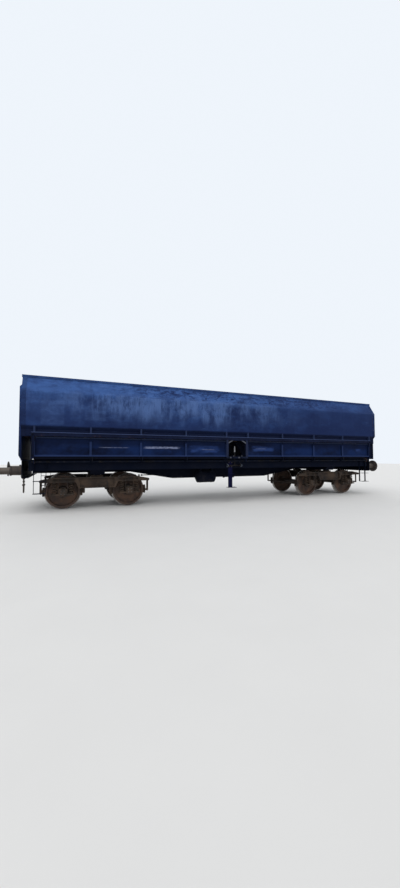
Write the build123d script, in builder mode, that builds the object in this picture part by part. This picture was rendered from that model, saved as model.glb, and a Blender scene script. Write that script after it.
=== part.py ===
# Four-flap open hopper wagon on two bogies, with a saddle floor that sheds the load to both sides.
# X runs along the wagon, Y across it, Z up; the origin is at mid-length on the floor under the wheel flanges.
# Sizes are in millimetres. Heights are given above the rail top and turned into z by above_rail().
from math import atan2, cos, hypot, radians, sin, tan
import os

from build123d import *

os.makedirs("parts", exist_ok=True)

# Wheels and track
wheel_radius = 460
flange_height = 28
flange_tip = 10
flange_shoulder = 24
flange_root = 36
flange_round = 8
wheel_width = 135
wheel_back_to_back = 1360
tread_cone = 4
rim_thickness = 60
rim_fillet = 12
disc_thickness = 28
disc_dish = 24
hub_radius = 130
hub_inner_reach = 30
hub_outer_reach = 15
hub_fillet = 30
axle_radius = 80
journal_radius = 60
journal_spacing = 2000
journal_end = 1085
wheel_base = 1800

# Body
body_length = 12260
body_width = 3000
sheet = 8
rim_height = 3550
rim_depth = 60
rim_width = 78
rim_overhang = 25
rim_inset = 228
fold_height = 3100
tuck_top_height = 2225
tuck_bottom_height = 2135
tuck_depth = 75
wall_bottom_height = 1950
wall_post_depth = 50
wall_post_width = 80
tie_radius = 38
tie_below_fold = 110
corner_post_width = 100
corner_post_sheet = 6
corner_post_flange = 70
end_post_depth = 100
end_post_foot = 30
end_post_width = 80
end_post_top = 3345
end_post_taper = 130
end_post_bevel = 60
end_post_places = (380, 1000)

# Saddle floor and the compartments at mid-length and at both ends, which stay empty
ridge_height = 2650
floor_edge_height = 1450
floor_edge_lip = 70
floor_to_flap = 8
centre_compartment = 780
end_compartment = 300
cover_angle = 45
end_slope_angle = 60
frame_plate = 12
frame_web = 150
frame_corner = 50
stringer_y = 1180
stringer_size = 40

# Flaps
bays_per_flap = 4
flap_to_beam = 5
flap_end_gap = 8
flap_bottom_height = 1440
flap_lip_depth = 62
flap_lip_thickness = 16
flap_rib_depth = 50
flap_rib_width = 60
hinge_height = 1925
hinge_tube_radius = 22
hinge_pin_radius = 9
tube_weld = 2
pin_clearance = 0.5
pin_reach = 60
lug_thickness = 20
lug_radius = 15
running_gap = 6

# Hinge beams
hinge_beam_bottom = 1960
hinge_beam_top = 2050
hinge_beam_depth = 60
hinge_bar_depth = 72
hinge_bar_thickness = 14
bracket_width = 45

# Posts beside the flaps
post_width = 70
post_foot_height = 1380
corner_bar_width = 36
corner_bar_thickness = 26
corner_bar_reach = 190
corner_bar_drop = 110

# Operating gear
shaft_radius = 25
shaft_inset = 95
shaft_height = 1300
ear_margin = 45
arm_thickness = 16
arm_offset = 40
lever_x = 0
lever_length = 560
lever_width = 40
lever_stand_off = 60
lever_pivot_height = 1150
lever_bracket_offset = 253
lever_bracket_height = 120
lever_bracket_nose = 60
lever_bracket_margin = 40
lever_shaft_radius = 22
grip_radius = 18
grip_length = 120
catch_offset = 150
catch_width = 30
catch_depth = 24
catch_height = 90
crank_offset = 110
crank_reach = 75
crank_width = 44

# Underframe
deck_height = 1340
side_sill_depth = 280
side_sill_width = 90
side_sill_outer = 1230
sill_web = 10
web_thickness = 12
flange_thickness = 16
centre_sill_spread = 380
centre_sill_depth_ends = 380
centre_sill_depth_middle = 620
centre_sill_belly = 3600
centre_sill_taper = 1400
centre_sill_flange = 110
headstock_thickness = 160
headstock_bottom = 880
cross_member_depth = 200
cross_member_width = 120
tank_beam_places = (-950, -550, 550, 950)

# Bolsters and pivots
pivot_inset = 1880
bolster_length = 400
bolster_bottom = 930
bolster_flat = 1000
bowl_radius = 180
bowl_top = 905
pivot_gap = 0.5
pivot_pin_radius = 60
pivot_pin_clearance = 2
bearer_spacing = 1700
bearer_size = 160

# Buffers and draw gear
buffer_height = 1060
buffer_spacing = 1750
buffer_length = 620
buffer_foot = 340
buffer_foot_corner = 30
buffer_foot_thickness = 20
buffer_head_radius = 225
buffer_head_thickness = 17
buffer_head_crown = 12
buffer_head_flat = 90
buffer_neck = 40
socket_length = 280
socket_radius = 118
socket_tip_radius = 112
collar_radius = 128
collar_length = 36
plunger_radius = 92
hook_reach = 190
hook_nose = 27
hook_width = 56
hook_radius = 88
hook_mouth = 36
mouth_shift = 8
mouth_rise = 14
mouth_entry = 58
shank_height = 80
draw_plate_width = 260
draw_plate_height = 220
draw_plate_thickness = 16
eye_reach = 75
eye_radius = 24
coupling_pin_radius = 28
link_gap = 12
link_thickness = 18
link_width = 60
link_length = 250
trunnion_length = 150
screw_radius = 20
screw_length = 190
shackle_length = 210
handle_length = 170

# Brakes on the wagon
pipe_radius = 17
cock_width = 51
cock_half_height = 34
cock_back = 34
cock_front = 68
cock_spout = 51
pipe_y = 330
cock_reach = 90
tank_radius = 200
tank_length = 700
tank_x = -750
tank_y = 620
tank_height = 780
tank_dome = 60
cylinder_radius = 165
cylinder_length = 560
cylinder_height = 815
hanger_width = 60
hanger_spread = 180
push_rod_length = 187
brake_lever_width = 60
brake_lever_thickness = 16
tie_rod_y = 400
pull_rod_y = 300
pull_rod_radius = 15
pull_rod_gap = 60
rod_eye_radius = 30
rod_pin_radius = 12
adjuster_x = -700
adjuster_radius = 42
adjuster_length = 620

# Steps and handrails
step_hanger_width = 150
step_hanger_x = -135
step_hanger_top = 1300
step_strap_width = 50
step_sheet = 12
tread_length = 300
tread_depth = 170
tread_thickness = 10
centre_tread_height = 450
corner_step_inset = 430
corner_tread_heights = (480, 800)
rail_radius = 11
rail_stand_off = 70
rail_low_height = 1460
rail_high_height = 2005
rail_bend = 28

# Bogies
side_frame_thickness = 140
side_frame_top = 860
side_frame_underside = 730
side_frame_belly = 560
side_frame_overhang = 580
side_frame_slope = 330
side_frame_drop = 60
side_frame_corner = 24
side_frame_web = 44
side_frame_border = 30
belly_slope = 80
wing_to_belly = 30
transom_width = 440
transom_bottom = 640
transom_top = 850
horn_thickness = 16
horn_gap = 3
horn_height = 452
axle_box_width = 210
axle_box_corner = 35
axle_box_length = 200
box_cover_radius = 82
box_cover_thickness = 22
spring_radius = 66
spring_groove = 12
spring_turns = 6
spring_offset = 210
spring_seat_height = 425
wing_thickness = 40
wing_margin = 20
shoe_gap = 8
shoe_thickness = 57
shoe_width = 78
shoe_angle = 14
shoe_inset = 15
brake_beam_radius = 25
brake_beam_gap = 20
brake_beam_drop = 20
brake_hanger_inset = 12

# Clearance of a piece that is fitted round or beside another one without moving
seat_gap = 0.3


def above_rail(height):
    return height + flange_height


half_length = body_length / 2
half_width = body_width / 2
axle_z = above_rail(wheel_radius)
strip_y = half_width - tuck_depth
flap_inner_y = strip_y - flap_to_beam
hinge_y = flap_inner_y + sheet + hinge_tube_radius - tube_weld
hinge_z = above_rail(hinge_height)
shaft_y = strip_y - shaft_inset
flap_near_end = centre_compartment / 2
flap_far_end = half_length - end_compartment
flap_half = (flap_far_end - flap_near_end) / 2
flap_centre = flap_near_end + flap_half
bay = 2 * flap_half / bays_per_flap
pivot_x = half_length - pivot_inset
bearer_y = bearer_spacing / 2
floor_edge_y = flap_inner_y - floor_to_flap
floor_slope = (ridge_height - floor_edge_height) / floor_edge_y
floor_drop = sheet * hypot(1, floor_slope)
bracket_places = [flap_centre + bay * step for step in (-1, 0, 1)]
frame_places = [sign * place for sign in (-1, 1) for place in bracket_places]
SIDES = (("left", 1), ("right", -1))
ENDS = (("a", -1), ("b", 1))


def parallel(points, distance):
    """An open outline moved to its left by a distance, with mitred corners and level ends."""
    moved = []
    for index, (y, z) in enumerate(points):
        normals = []
        for first, second in ((index - 1, index), (index, index + 1)):
            if first < 0 or second >= len(points):
                continue
            dy = points[second][0] - points[first][0]
            dz = points[second][1] - points[first][1]
            length = hypot(dy, dz)
            normals.append((-dz / length, dy / length))
        ny = sum(normal[0] for normal in normals) / len(normals)
        nz = sum(normal[1] for normal in normals) / len(normals)
        stretch = distance / (ny * ny + nz * nz)
        moved.append((y + ny * stretch, z + nz * stretch))
    for end, inward in ((0, 1), (-1, len(points) - 2)):
        dy = points[inward][0] - points[end][0]
        dz = points[inward][1] - points[end][1]
        slide = (points[end][1] - moved[end][1]) / dz
        moved[end] = (moved[end][0] + dy * slide, points[end][1])
    return moved


def across(points, sign):
    """Points of a right-hand section turned to the side that sign gives."""
    return [(sign * y, z) for y, z in points]


# Outer line of a side wall from its bottom edge up to the rim, as (y, z)
wall_line = [
    (strip_y, above_rail(wall_bottom_height)),
    (strip_y, above_rail(tuck_bottom_height)),
    (half_width, above_rail(tuck_top_height)),
    (half_width, above_rail(fold_height)),
    (half_width - rim_inset, above_rail(rim_height - rim_depth)),
]
wall_bottom, tuck_low, tuck_high, fold, wall_top = wall_line
inner_line = parallel(wall_line, sheet)


def floor_top(y):
    """z of the saddle floor's upper face at a distance y from the middle."""
    return above_rail(ridge_height) - floor_slope * abs(y)


def floor_under(y):
    """z of its lower face there."""
    return floor_top(y) - floor_drop


deck_z = above_rail(deck_height)
base_z = above_rail(wall_bottom_height)
lip_inner_y = floor_edge_y - sheet
lip_bottom_z = floor_under(floor_edge_y) - floor_edge_lip
notch_y = (floor_under(0) - base_z) / floor_slope
cover_y = (floor_top(0) - base_z) / floor_slope
end_inner_x = half_length - sheet
shaft_z = above_rail(shaft_height)
ear_bottom_z = shaft_z - ear_margin

# Saddle floor: an inverted V sheet over the whole length, notched at the centre and end compartments
with BuildPart() as saddle_floor:
    with BuildSketch(Plane.YZ.offset(-end_inner_x)):
        with BuildLine():
            Polyline(
                (0, floor_top(0)),
                (floor_edge_y, floor_top(floor_edge_y)),
                (floor_edge_y, lip_bottom_z),
                (lip_inner_y, lip_bottom_z),
                (lip_inner_y, floor_under(lip_inner_y)),
                (0, floor_under(0)),
                close=True,
            )
        make_face()
        mirror(about=Plane.YZ)
    extrude(amount=2 * end_inner_x)
    end_notch = end_inner_x - flap_far_end
    end_notch_x = flap_far_end + end_notch / 2
    for notch_x, notch_length in (
        (-end_notch_x, end_notch),
        (0, 2 * flap_near_end),
        (end_notch_x, end_notch),
    ):
        with Locations(
            (notch_x, notch_y + half_width / 2, deck_z),
            (notch_x, -notch_y - half_width / 2, deck_z),
        ):
            Box(notch_length, half_width, 2 * rim_height, mode=Mode.SUBTRACT)
saddle_floor.part.label = "saddle_floor"
export_step(saddle_floor.part, "parts/saddle_floor.step")


def frame_face(place_x, outline):
    """Sketch of a plate frame at a place along the wagon, from its right half, with web openings."""
    low = deck_z + frame_web
    inner = centre_sill_spread / 2 + centre_sill_flange / 2
    tip = (floor_under(0) - frame_web / cos(atan2(floor_slope, 1)) - low) / floor_slope
    high = low + (tip - inner) * floor_slope
    with BuildSketch() as opening:
        with BuildLine():
            Polyline((inner, low), (inner, high), (tip, low), close=True)
        make_face()
        fillet(opening.vertices(), frame_corner)
    with BuildSketch(Plane.YZ.offset(place_x)) as face:
        with BuildLine():
            Polyline(*outline, close=True)
        make_face()
        add(opening.sketch, mode=Mode.SUBTRACT)
        with Locations((shaft_y, shaft_z)):
            Circle(shaft_radius + seat_gap, mode=Mode.SUBTRACT)
        mirror(about=Plane.YZ)
    return face.sketch


# Right half of the outline below the floor, down to the ear that carries the operating shaft
ear_line = [
    (shaft_y + ear_margin, ear_bottom_z),
    (shaft_y - ear_margin, ear_bottom_z),
    (shaft_y - ear_margin, deck_z),
    (0, deck_z),
]

# Saddle frames: plates under the floor at each bay line, tied by a stringer along each side
with BuildPart() as saddle_frames:
    below_floor = [
        (0, floor_under(0)),
        (lip_inner_y, floor_under(lip_inner_y)),
        (lip_inner_y, lip_bottom_z),
        *ear_line,
    ]
    for frame_x in frame_places:
        extrude(frame_face(frame_x - frame_plate / 2, below_floor), amount=frame_plate)
    for end in (-1, 1):
        with Locations(
            (end * flap_centre, stringer_y, deck_z + stringer_size / 2),
            (end * flap_centre, -stringer_y, deck_z + stringer_size / 2),
        ):
            Box(2 * flap_half, stringer_size, stringer_size)
saddle_frames.part.label = "saddle_frames"
export_step(saddle_frames.part, "parts/saddle_frames.step")

# Plates that close the hopper beside the flaps, with a post in front of each
closing_outline = [
    (0, floor_under(0)),
    (notch_y, base_z),
    (strip_y, base_z),
    (strip_y, above_rail(post_foot_height)),
    *ear_line,
]
post_foot_z = above_rail(post_foot_height)
post_top_z = above_rail(hinge_beam_bottom)
post_height = post_top_z - post_foot_z
opening_half = flap_near_end - post_width

with BuildPart() as centre_frames:
    for sign in (-1, 1):
        plate_start = flap_near_end - frame_plate if sign > 0 else -flap_near_end
        extrude(frame_face(plate_start, closing_outline), amount=frame_plate)
        post_x = sign * (flap_near_end - post_width / 2)
        for side in (-1, 1):
            with Locations((post_x, side * (strip_y + hinge_beam_depth / 2), (post_foot_z + post_top_z) / 2)):
                Box(post_width, hinge_beam_depth, post_height)
    # Bar under each opening with two catches, and the two slanting bars in its upper corners
    bar_height = above_rail(flap_bottom_height) - post_foot_z
    bar_angle = atan2(corner_bar_drop, corner_bar_reach)
    bar_along = corner_bar_width / sin(bar_angle)
    bar_down = corner_bar_width / cos(bar_angle)
    for side in (-1, 1):
        with Locations((0, side * (strip_y + hinge_beam_depth / 2), post_foot_z + bar_height / 2)):
            Box(2 * opening_half, hinge_beam_depth, bar_height)
        catch_y = side * (strip_y + hinge_beam_depth + catch_depth / 2)
        with Locations(
            (-catch_offset, catch_y, post_foot_z + catch_height / 2),
            (catch_offset, catch_y, post_foot_z + catch_height / 2),
        ):
            Box(catch_width, catch_depth, catch_height)
        with BuildSketch(Plane.XZ.offset(-side * (strip_y + hinge_beam_depth))):
            for sign in (-1, 1):
                with BuildLine():
                    Polyline(
                        (sign * opening_half, post_top_z - corner_bar_drop),
                        (sign * (opening_half - corner_bar_reach), post_top_z),
                        (sign * (opening_half - corner_bar_reach + bar_along), post_top_z),
                        (sign * opening_half, post_top_z - corner_bar_drop + bar_down),
                        close=True,
                    )
                make_face()
        extrude(amount=side * corner_bar_thickness)
centre_frames.part.label = "centre_frames"
export_step(centre_frames.part, "parts/centre_frames.step")

with BuildPart() as end_frames:
    for sign in (-1, 1):
        plate_start = flap_far_end if sign > 0 else -flap_far_end - frame_plate
        extrude(frame_face(plate_start, closing_outline), amount=frame_plate)
        post_x = sign * (flap_far_end + post_width / 2)
        for side in (-1, 1):
            with Locations((post_x, side * (strip_y + hinge_beam_depth / 2), (post_foot_z + post_top_z) / 2)):
                Box(post_width, hinge_beam_depth, post_height)
end_frames.part.label = "end_frames"
export_step(end_frames.part, "parts/end_frames.step")


def load_space(start_x):
    """Sketch of the load space's section: above the floor, between the side walls, under the rim."""
    with BuildSketch(Plane.YZ.offset(start_x)) as section:
        with BuildLine():
            Polyline((0, floor_top(0)), (cover_y, base_z), *inner_line, (0, inner_line[-1][1]), close=True)
        make_face()
        mirror(about=Plane.YZ)
    return section.sketch


# Roof over the centre compartment and slopes over the end ones, fitted between the floor and the walls
with BuildPart() as control_covers:
    cover_rise = flap_near_end * tan(radians(cover_angle))
    cover_drop = sheet / cos(radians(cover_angle))
    with BuildSketch(Plane.XZ.offset(-half_width)):
        with BuildLine():
            Polyline(
                (-flap_near_end, base_z),
                (-flap_near_end, base_z + cover_drop),
                (0, base_z + cover_rise + cover_drop),
                (flap_near_end, base_z + cover_drop),
                (flap_near_end, base_z),
                (0, base_z + cover_rise),
                close=True,
            )
        make_face()
    extrude(amount=body_width)
    extrude(load_space(-flap_near_end), amount=2 * flap_near_end, mode=Mode.INTERSECT)
control_covers.part.label = "control_covers"
export_step(control_covers.part, "parts/control_covers.step")

with BuildPart() as end_slopes:
    slope_rise = end_notch * tan(radians(end_slope_angle))
    slope_drop = sheet / cos(radians(end_slope_angle))
    for sign in (-1, 1):
        with BuildSketch(Plane.XZ.offset(-half_width)):
            with BuildLine():
                Polyline(
                    (sign * flap_far_end, base_z),
                    (sign * flap_far_end, base_z + slope_drop),
                    (sign * end_inner_x, base_z + slope_rise + slope_drop),
                    (sign * end_inner_x, base_z + slope_rise),
                    close=True,
                )
            make_face()
        extrude(amount=body_width)
    extrude(load_space(-end_inner_x), amount=2 * end_inner_x, mode=Mode.INTERSECT)
end_slopes.part.label = "end_slopes"
export_step(end_slopes.part, "parts/end_slopes.step")

# Side walls: one bent sheet each, with an upright face, a fold and a tuck above the hinge beam
for side_name, sign in SIDES:
    with BuildPart() as side_wall:
        with BuildSketch(Plane.YZ.offset(-half_length)):
            with BuildLine():
                Polyline(*across(wall_line + inner_line[::-1], sign), close=True)
            make_face()
        extrude(amount=body_length)
    side_wall.part.label = f"side_wall_{side_name}"
    export_step(side_wall.part, f"parts/side_wall_{side_name}.step")

# Posts inside the side walls at the bay lines
post_line = parallel(wall_line, sheet + wall_post_depth)
with BuildPart() as wall_posts:
    for post_x in frame_places:
        with BuildSketch(Plane.YZ.offset(post_x - wall_post_width / 2)):
            with BuildLine():
                Polyline(*inner_line[2:], *post_line[:1:-1], close=True)
            make_face()
            mirror(about=Plane.YZ)
        extrude(amount=wall_post_width)
wall_posts.part.label = "wall_posts"
export_step(wall_posts.part, "parts/wall_posts.step")

# Cross ties between the wall posts
tie_half = half_width - sheet - wall_post_depth
with BuildPart() as cross_ties:
    for tie_x in (-flap_centre, flap_centre):
        with BuildSketch(Plane.XZ.offset(-tie_half)):
            with Locations((tie_x, above_rail(fold_height - tie_below_fold))):
                Circle(tie_radius)
        extrude(amount=2 * tie_half)
cross_ties.part.label = "cross_ties"
export_step(cross_ties.part, "parts/cross_ties.step")

# Rim round the top of the four walls
with BuildPart() as top_rim:
    rim_outer_y = wall_top[0] + corner_post_sheet
    rim_outer_x = half_length + rim_overhang
    with BuildSketch(Plane.XY.offset(above_rail(rim_height - rim_depth))):
        Rectangle(2 * rim_outer_x, 2 * rim_outer_y)
        Rectangle(2 * (rim_outer_x - rim_width), 2 * (rim_outer_y - rim_width), mode=Mode.SUBTRACT)
    extrude(amount=rim_depth)
top_rim.part.label = "top_rim"
export_step(top_rim.part, "parts/top_rim.step")

# End walls between the side walls, posts outside them and corner posts
for end_name, sign in ENDS:
    with BuildPart() as end_wall:
        with BuildSketch(Plane.YZ.offset(end_inner_x if sign > 0 else -half_length)):
            with BuildLine():
                Polyline(
                    (0, deck_z),
                    (inner_line[0][0], deck_z),
                    *inner_line,
                    (0, inner_line[-1][1]),
                    close=True,
                )
            make_face()
            mirror(about=Plane.YZ)
        extrude(amount=sheet)
    end_wall.part.label = f"end_wall_{end_name}"
    export_step(end_wall.part, f"parts/end_wall_{end_name}.step")

with BuildPart() as end_posts:
    post_ends_x = half_length + end_post_depth
    for post_y in [side * place for side in (-1, 1) for place in end_post_places]:
        with BuildSketch(Plane.XZ.offset(-post_y - end_post_width / 2)):
            for sign in (-1, 1):
                with BuildLine():
                    Polyline(
                        (sign * half_length, deck_z),
                        (sign * (half_length + end_post_foot), deck_z),
                        (sign * post_ends_x, deck_z + end_post_taper),
                        (sign * post_ends_x, above_rail(end_post_top - end_post_bevel)),
                        (sign * (post_ends_x - end_post_bevel), above_rail(end_post_top)),
                        (sign * half_length, above_rail(end_post_top)),
                        close=True,
                    )
                make_face()
        extrude(amount=end_post_width)
end_posts.part.label = "end_posts"
export_step(end_posts.part, "parts/end_posts.step")

cover_line = parallel(wall_line, -corner_post_sheet)
flange_line = parallel(wall_line, corner_post_flange)
with BuildPart() as corner_posts:
    for sign in (-1, 1):
        strip_start = half_length - corner_post_width if sign > 0 else -half_length
        with BuildSketch(Plane.YZ.offset(strip_start)):
            with BuildLine():
                Polyline(*wall_line, *cover_line[::-1], close=True)
            make_face()
            mirror(about=Plane.YZ)
        extrude(amount=corner_post_width)
        flange_start = half_length if sign > 0 else -half_length - corner_post_sheet
        with BuildSketch(Plane.YZ.offset(flange_start)):
            with BuildLine():
                Polyline(*flange_line, *cover_line[::-1], close=True)
            make_face()
            mirror(about=Plane.YZ)
        extrude(amount=corner_post_sheet)
corner_posts.part.label = "corner_posts"
export_step(corner_posts.part, "parts/corner_posts.step")

# Hinge beams outside the lower strip of the walls, with brackets in the tuck, hinge lugs and pins
beam_bottom_z = above_rail(hinge_beam_bottom)
beam_top_z = above_rail(hinge_beam_top)
beam_outer_y = strip_y + hinge_beam_depth
bar_top_z = beam_top_z + hinge_bar_thickness
bar_outer_y = strip_y + hinge_bar_depth
beam_half = flap_far_end + post_width
tuck_slope = (tuck_high[1] - tuck_low[1]) / tuck_depth
end_lug = flap_half - flap_end_gap - lug_thickness / 2
lug_places = [-end_lug, -bay, 0, bay, end_lug]
bracket_xs = [flap_near_end, *bracket_places, flap_far_end]

for side_name, sign in SIDES:
    with BuildPart() as hinge_beam:
        with BuildSketch(Plane.YZ.offset(-beam_half)):
            with BuildLine():
                Polyline(
                    *across(
                        [
                            (strip_y, beam_bottom_z),
                            (beam_outer_y, beam_bottom_z),
                            (beam_outer_y, beam_top_z),
                            (bar_outer_y, beam_top_z),
                            (bar_outer_y, bar_top_z),
                            (strip_y, bar_top_z),
                        ],
                        sign,
                    ),
                    close=True,
                )
            make_face()
        extrude(amount=2 * beam_half)
        for bracket_x in [end * place for end in (-1, 1) for place in bracket_xs]:
            with BuildSketch(Plane.YZ.offset(bracket_x - bracket_width / 2)):
                with BuildLine():
                    Polyline(
                        *across(
                            [
                                (strip_y, bar_top_z),
                                (bar_outer_y, bar_top_z),
                                (bar_outer_y, tuck_low[1] + hinge_bar_depth * tuck_slope),
                                tuck_low,
                            ],
                            sign,
                        ),
                        close=True,
                    )
                make_face()
            extrude(amount=bracket_width)
        # Hinge lugs at the bay lines and the ends of each flap, with a pin through each
        for lug_place in lug_places:
            reach_back = 0 if lug_place == lug_places[0] else pin_reach
            reach_on = 0 if lug_place == lug_places[-1] else pin_reach
            for flap_x in (-flap_centre, flap_centre):
                lug_x = flap_x + lug_place
                with BuildSketch(Plane.YZ.offset(lug_x - lug_thickness / 2)):
                    with Locations((sign * hinge_y, (hinge_z + beam_bottom_z) / 2)):
                        Rectangle(2 * lug_radius, beam_bottom_z - hinge_z)
                    with Locations((sign * hinge_y, hinge_z)):
                        Circle(lug_radius)
                extrude(amount=lug_thickness)
                with BuildSketch(Plane.YZ.offset(lug_x - reach_back)):
                    with Locations((sign * hinge_y, hinge_z)):
                        Circle(hinge_pin_radius)
                extrude(amount=reach_back + reach_on)
    hinge_beam.part.label = f"hinge_beam_{side_name}"
    export_step(hinge_beam.part, f"parts/hinge_beam_{side_name}.step")

# Flaps, closed: sheet, hinge tube, ribs at the bay lines, end ribs and the bottom lip
flap_outer_y = flap_inner_y + sheet
flap_bottom_z = above_rail(flap_bottom_height)
rib_foot_z = flap_bottom_z + flap_lip_thickness
rib_top_z = hinge_z - 2 * hinge_tube_radius
leaf_half = flap_half - flap_end_gap
gap_half = lug_thickness / 2 + running_gap
rib_table = [(step * bay, flap_rib_width) for step in (-1, 0, 1)]
rib_table += [(end * (leaf_half - frame_plate / 2), frame_plate) for end in (-1, 1)]

for side_name, sign in SIDES:
    for end_name, end in ENDS:
        centre_x = end * flap_centre
        with BuildPart() as flap:
            with BuildSketch(Plane.YZ.offset(centre_x - leaf_half)):
                with BuildLine():
                    Polyline(
                        *across(
                            [
                                (flap_inner_y, flap_bottom_z),
                                (flap_outer_y + flap_lip_depth, flap_bottom_z),
                                (flap_outer_y + flap_lip_depth, rib_foot_z),
                                (flap_outer_y, rib_foot_z),
                                (flap_outer_y, hinge_z),
                                (flap_inner_y, hinge_z),
                            ],
                            sign,
                        ),
                        close=True,
                    )
                make_face()
            extrude(amount=2 * leaf_half)
            for rib_place, rib_width in rib_table:
                with BuildSketch(Plane.YZ.offset(centre_x + rib_place - rib_width / 2)):
                    with BuildLine():
                        Polyline(
                            *across(
                                [
                                    (flap_outer_y, rib_foot_z),
                                    (flap_outer_y + flap_rib_depth, rib_foot_z),
                                    (flap_outer_y + flap_rib_depth, rib_top_z - flap_rib_depth),
                                    (flap_outer_y, rib_top_z),
                                ],
                                sign,
                            ),
                            close=True,
                        )
                    make_face()
                extrude(amount=rib_width)
            # Hinge tube in lengths between the lugs, bored for the pins
            for lug_before, lug_after in zip(lug_places, lug_places[1:]):
                tube_x = centre_x + lug_before + gap_half
                tube_length = lug_after - lug_before - 2 * gap_half
                with BuildSketch(Plane.YZ.offset(tube_x)):
                    with Locations((sign * hinge_y, hinge_z)):
                        Circle(hinge_tube_radius)
                extrude(amount=tube_length)
                for bore_x in (tube_x, tube_x + tube_length - pin_reach):
                    with BuildSketch(Plane.YZ.offset(bore_x)):
                        with Locations((sign * hinge_y, hinge_z)):
                            Circle(hinge_pin_radius + pin_clearance)
                    extrude(amount=pin_reach, mode=Mode.SUBTRACT)
        flap.part.label = f"flap_{side_name}_{end_name}"
        export_step(flap.part, f"parts/flap_{side_name}_{end_name}.step")

# Operating shafts through the frames, with a locking arm beside each frame and a crank in the middle
crank_y = shaft_y + crank_reach
crank_pin_z = (shaft_z + above_rail(lever_pivot_height)) / 2
with BuildPart() as operating_shafts:
    shaft_half = flap_far_end + post_width
    arm_tip_y = flap_outer_y + flap_lip_depth / 2
    arm_tip_z = flap_bottom_z - running_gap
    for side in (-1, 1):
        with BuildSketch(Plane.YZ.offset(-shaft_half)):
            with Locations((side * shaft_y, shaft_z)):
                Circle(shaft_radius)
        extrude(amount=2 * shaft_half)
        for arm_x in [place + arm_offset for place in frame_places]:
            with BuildSketch(Plane.YZ.offset(arm_x)):
                with BuildLine():
                    Polyline(
                        (side * (shaft_y - shaft_radius), shaft_z),
                        (side * shaft_y, shaft_z - shaft_radius),
                        (side * (arm_tip_y + shaft_radius / 2), shaft_z + shaft_radius),
                        (side * (arm_tip_y + shaft_radius / 2), arm_tip_z),
                        (side * (arm_tip_y - shaft_radius), arm_tip_z),
                        (side * (arm_tip_y - shaft_radius), shaft_z + 2 * shaft_radius),
                        (side * (shaft_y - shaft_radius), shaft_z + shaft_radius),
                        close=True,
                    )
                make_face()
            extrude(amount=arm_thickness)
        with BuildSketch(Plane.YZ.offset(crank_offset)):
            SlotCenterPoint(
                (side * (shaft_y + crank_y) / 2, (shaft_z + crank_pin_z) / 2),
                (side * crank_y, crank_pin_z),
                crank_width,
            )
        extrude(amount=arm_thickness)
operating_shafts.part.label = "operating_shafts"
export_step(operating_shafts.part, "parts/operating_shafts.step")

# Centre sill: two fishbelly webs with flanges, the end lengths butted on where the belly runs out
sill_half = half_length - headstock_thickness


def belly(raise_by):
    """Lower line of the centre sill as (x, z), raised by a height."""
    end_z = deck_z - centre_sill_depth_ends + raise_by
    middle_z = deck_z - centre_sill_depth_middle + raise_by
    inner_x = centre_sill_belly / 2
    outer_x = inner_x + centre_sill_taper
    return [
        (-sill_half, end_z),
        (-outer_x, end_z),
        (-inner_x, middle_z),
        (inner_x, middle_z),
        (outer_x, end_z),
        (sill_half, end_z),
    ]


with BuildPart() as centre_sill:
    top_band = [(sill_half, deck_z), (-sill_half, deck_z)]
    under_band = [(sill_half, deck_z - flange_thickness), (-sill_half, deck_z - flange_thickness)]
    # Outline in X and Z, and its thickness across the wagon
    for outline, thickness in (
        ([*belly(0), *top_band], web_thickness),
        ([*belly(0), *belly(flange_thickness)[::-1]], centre_sill_flange),
        ([*under_band[::-1], *top_band], centre_sill_flange),
    ):
        for side in (-1, 1):
            with BuildSketch(Plane.XZ.offset(-side * centre_sill_spread / 2 - thickness / 2)):
                with BuildLine():
                    Polyline(*outline, close=True)
                make_face()
            extrude(amount=thickness)
    splice_x = centre_sill_belly / 2 + centre_sill_taper
    with Locations((-splice_x, 0, deck_z), (splice_x, 0, deck_z)):
        Box(
            seat_gap,
            centre_sill_spread + 2 * centre_sill_flange,
            2 * centre_sill_depth_middle,
            mode=Mode.SUBTRACT,
        )
centre_sill.part.label = "centre_sill"
export_step(centre_sill.part, "parts/centre_sill.step")

# Side sills: channels open towards the middle
side_sill_bottom_z = deck_z - side_sill_depth
sill_inner_y = side_sill_outer - sill_web
with BuildPart() as side_sills:
    with BuildSketch(Plane.YZ.offset(-sill_half)):
        with BuildLine():
            Polyline(
                (side_sill_outer, deck_z),
                (side_sill_outer, side_sill_bottom_z),
                (side_sill_outer - side_sill_width, side_sill_bottom_z),
                (side_sill_outer - side_sill_width, side_sill_bottom_z + sill_web),
                (sill_inner_y, side_sill_bottom_z + sill_web),
                (sill_inner_y, deck_z - sill_web),
                (side_sill_outer - side_sill_width, deck_z - sill_web),
                (side_sill_outer - side_sill_width, deck_z),
                close=True,
            )
        make_face()
        mirror(about=Plane.YZ)
    extrude(amount=2 * sill_half)
side_sills.part.label = "side_sills"
export_step(side_sills.part, "parts/side_sills.step")

# Cross members between the centre sill and the side sills
member_places = [sign * place for sign in (-1, 1) for place in bracket_places[:2]]
member_top_z = deck_z - sill_web
member_bottom_z = member_top_z - cross_member_depth
member_inner_y = centre_sill_spread / 2 + centre_sill_flange / 2
member_length = sill_inner_y - member_inner_y
with BuildPart() as cross_members:
    for side in (-1, 1):
        near_y = member_inner_y if side > 0 else -sill_inner_y
        with BuildSketch(Plane.XZ.offset(-near_y)):
            for member_x in [*member_places, *tank_beam_places]:
                with Locations((member_x, (member_top_z + member_bottom_z) / 2)):
                    Rectangle(web_thickness, cross_member_depth)
                for flange_z in (member_top_z - sill_web / 2, member_bottom_z + sill_web / 2):
                    with Locations((member_x, flange_z)):
                        Rectangle(cross_member_width, sill_web)
        extrude(amount=-member_length)
cross_members.part.label = "cross_members"
export_step(cross_members.part, "parts/cross_members.step")

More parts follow.
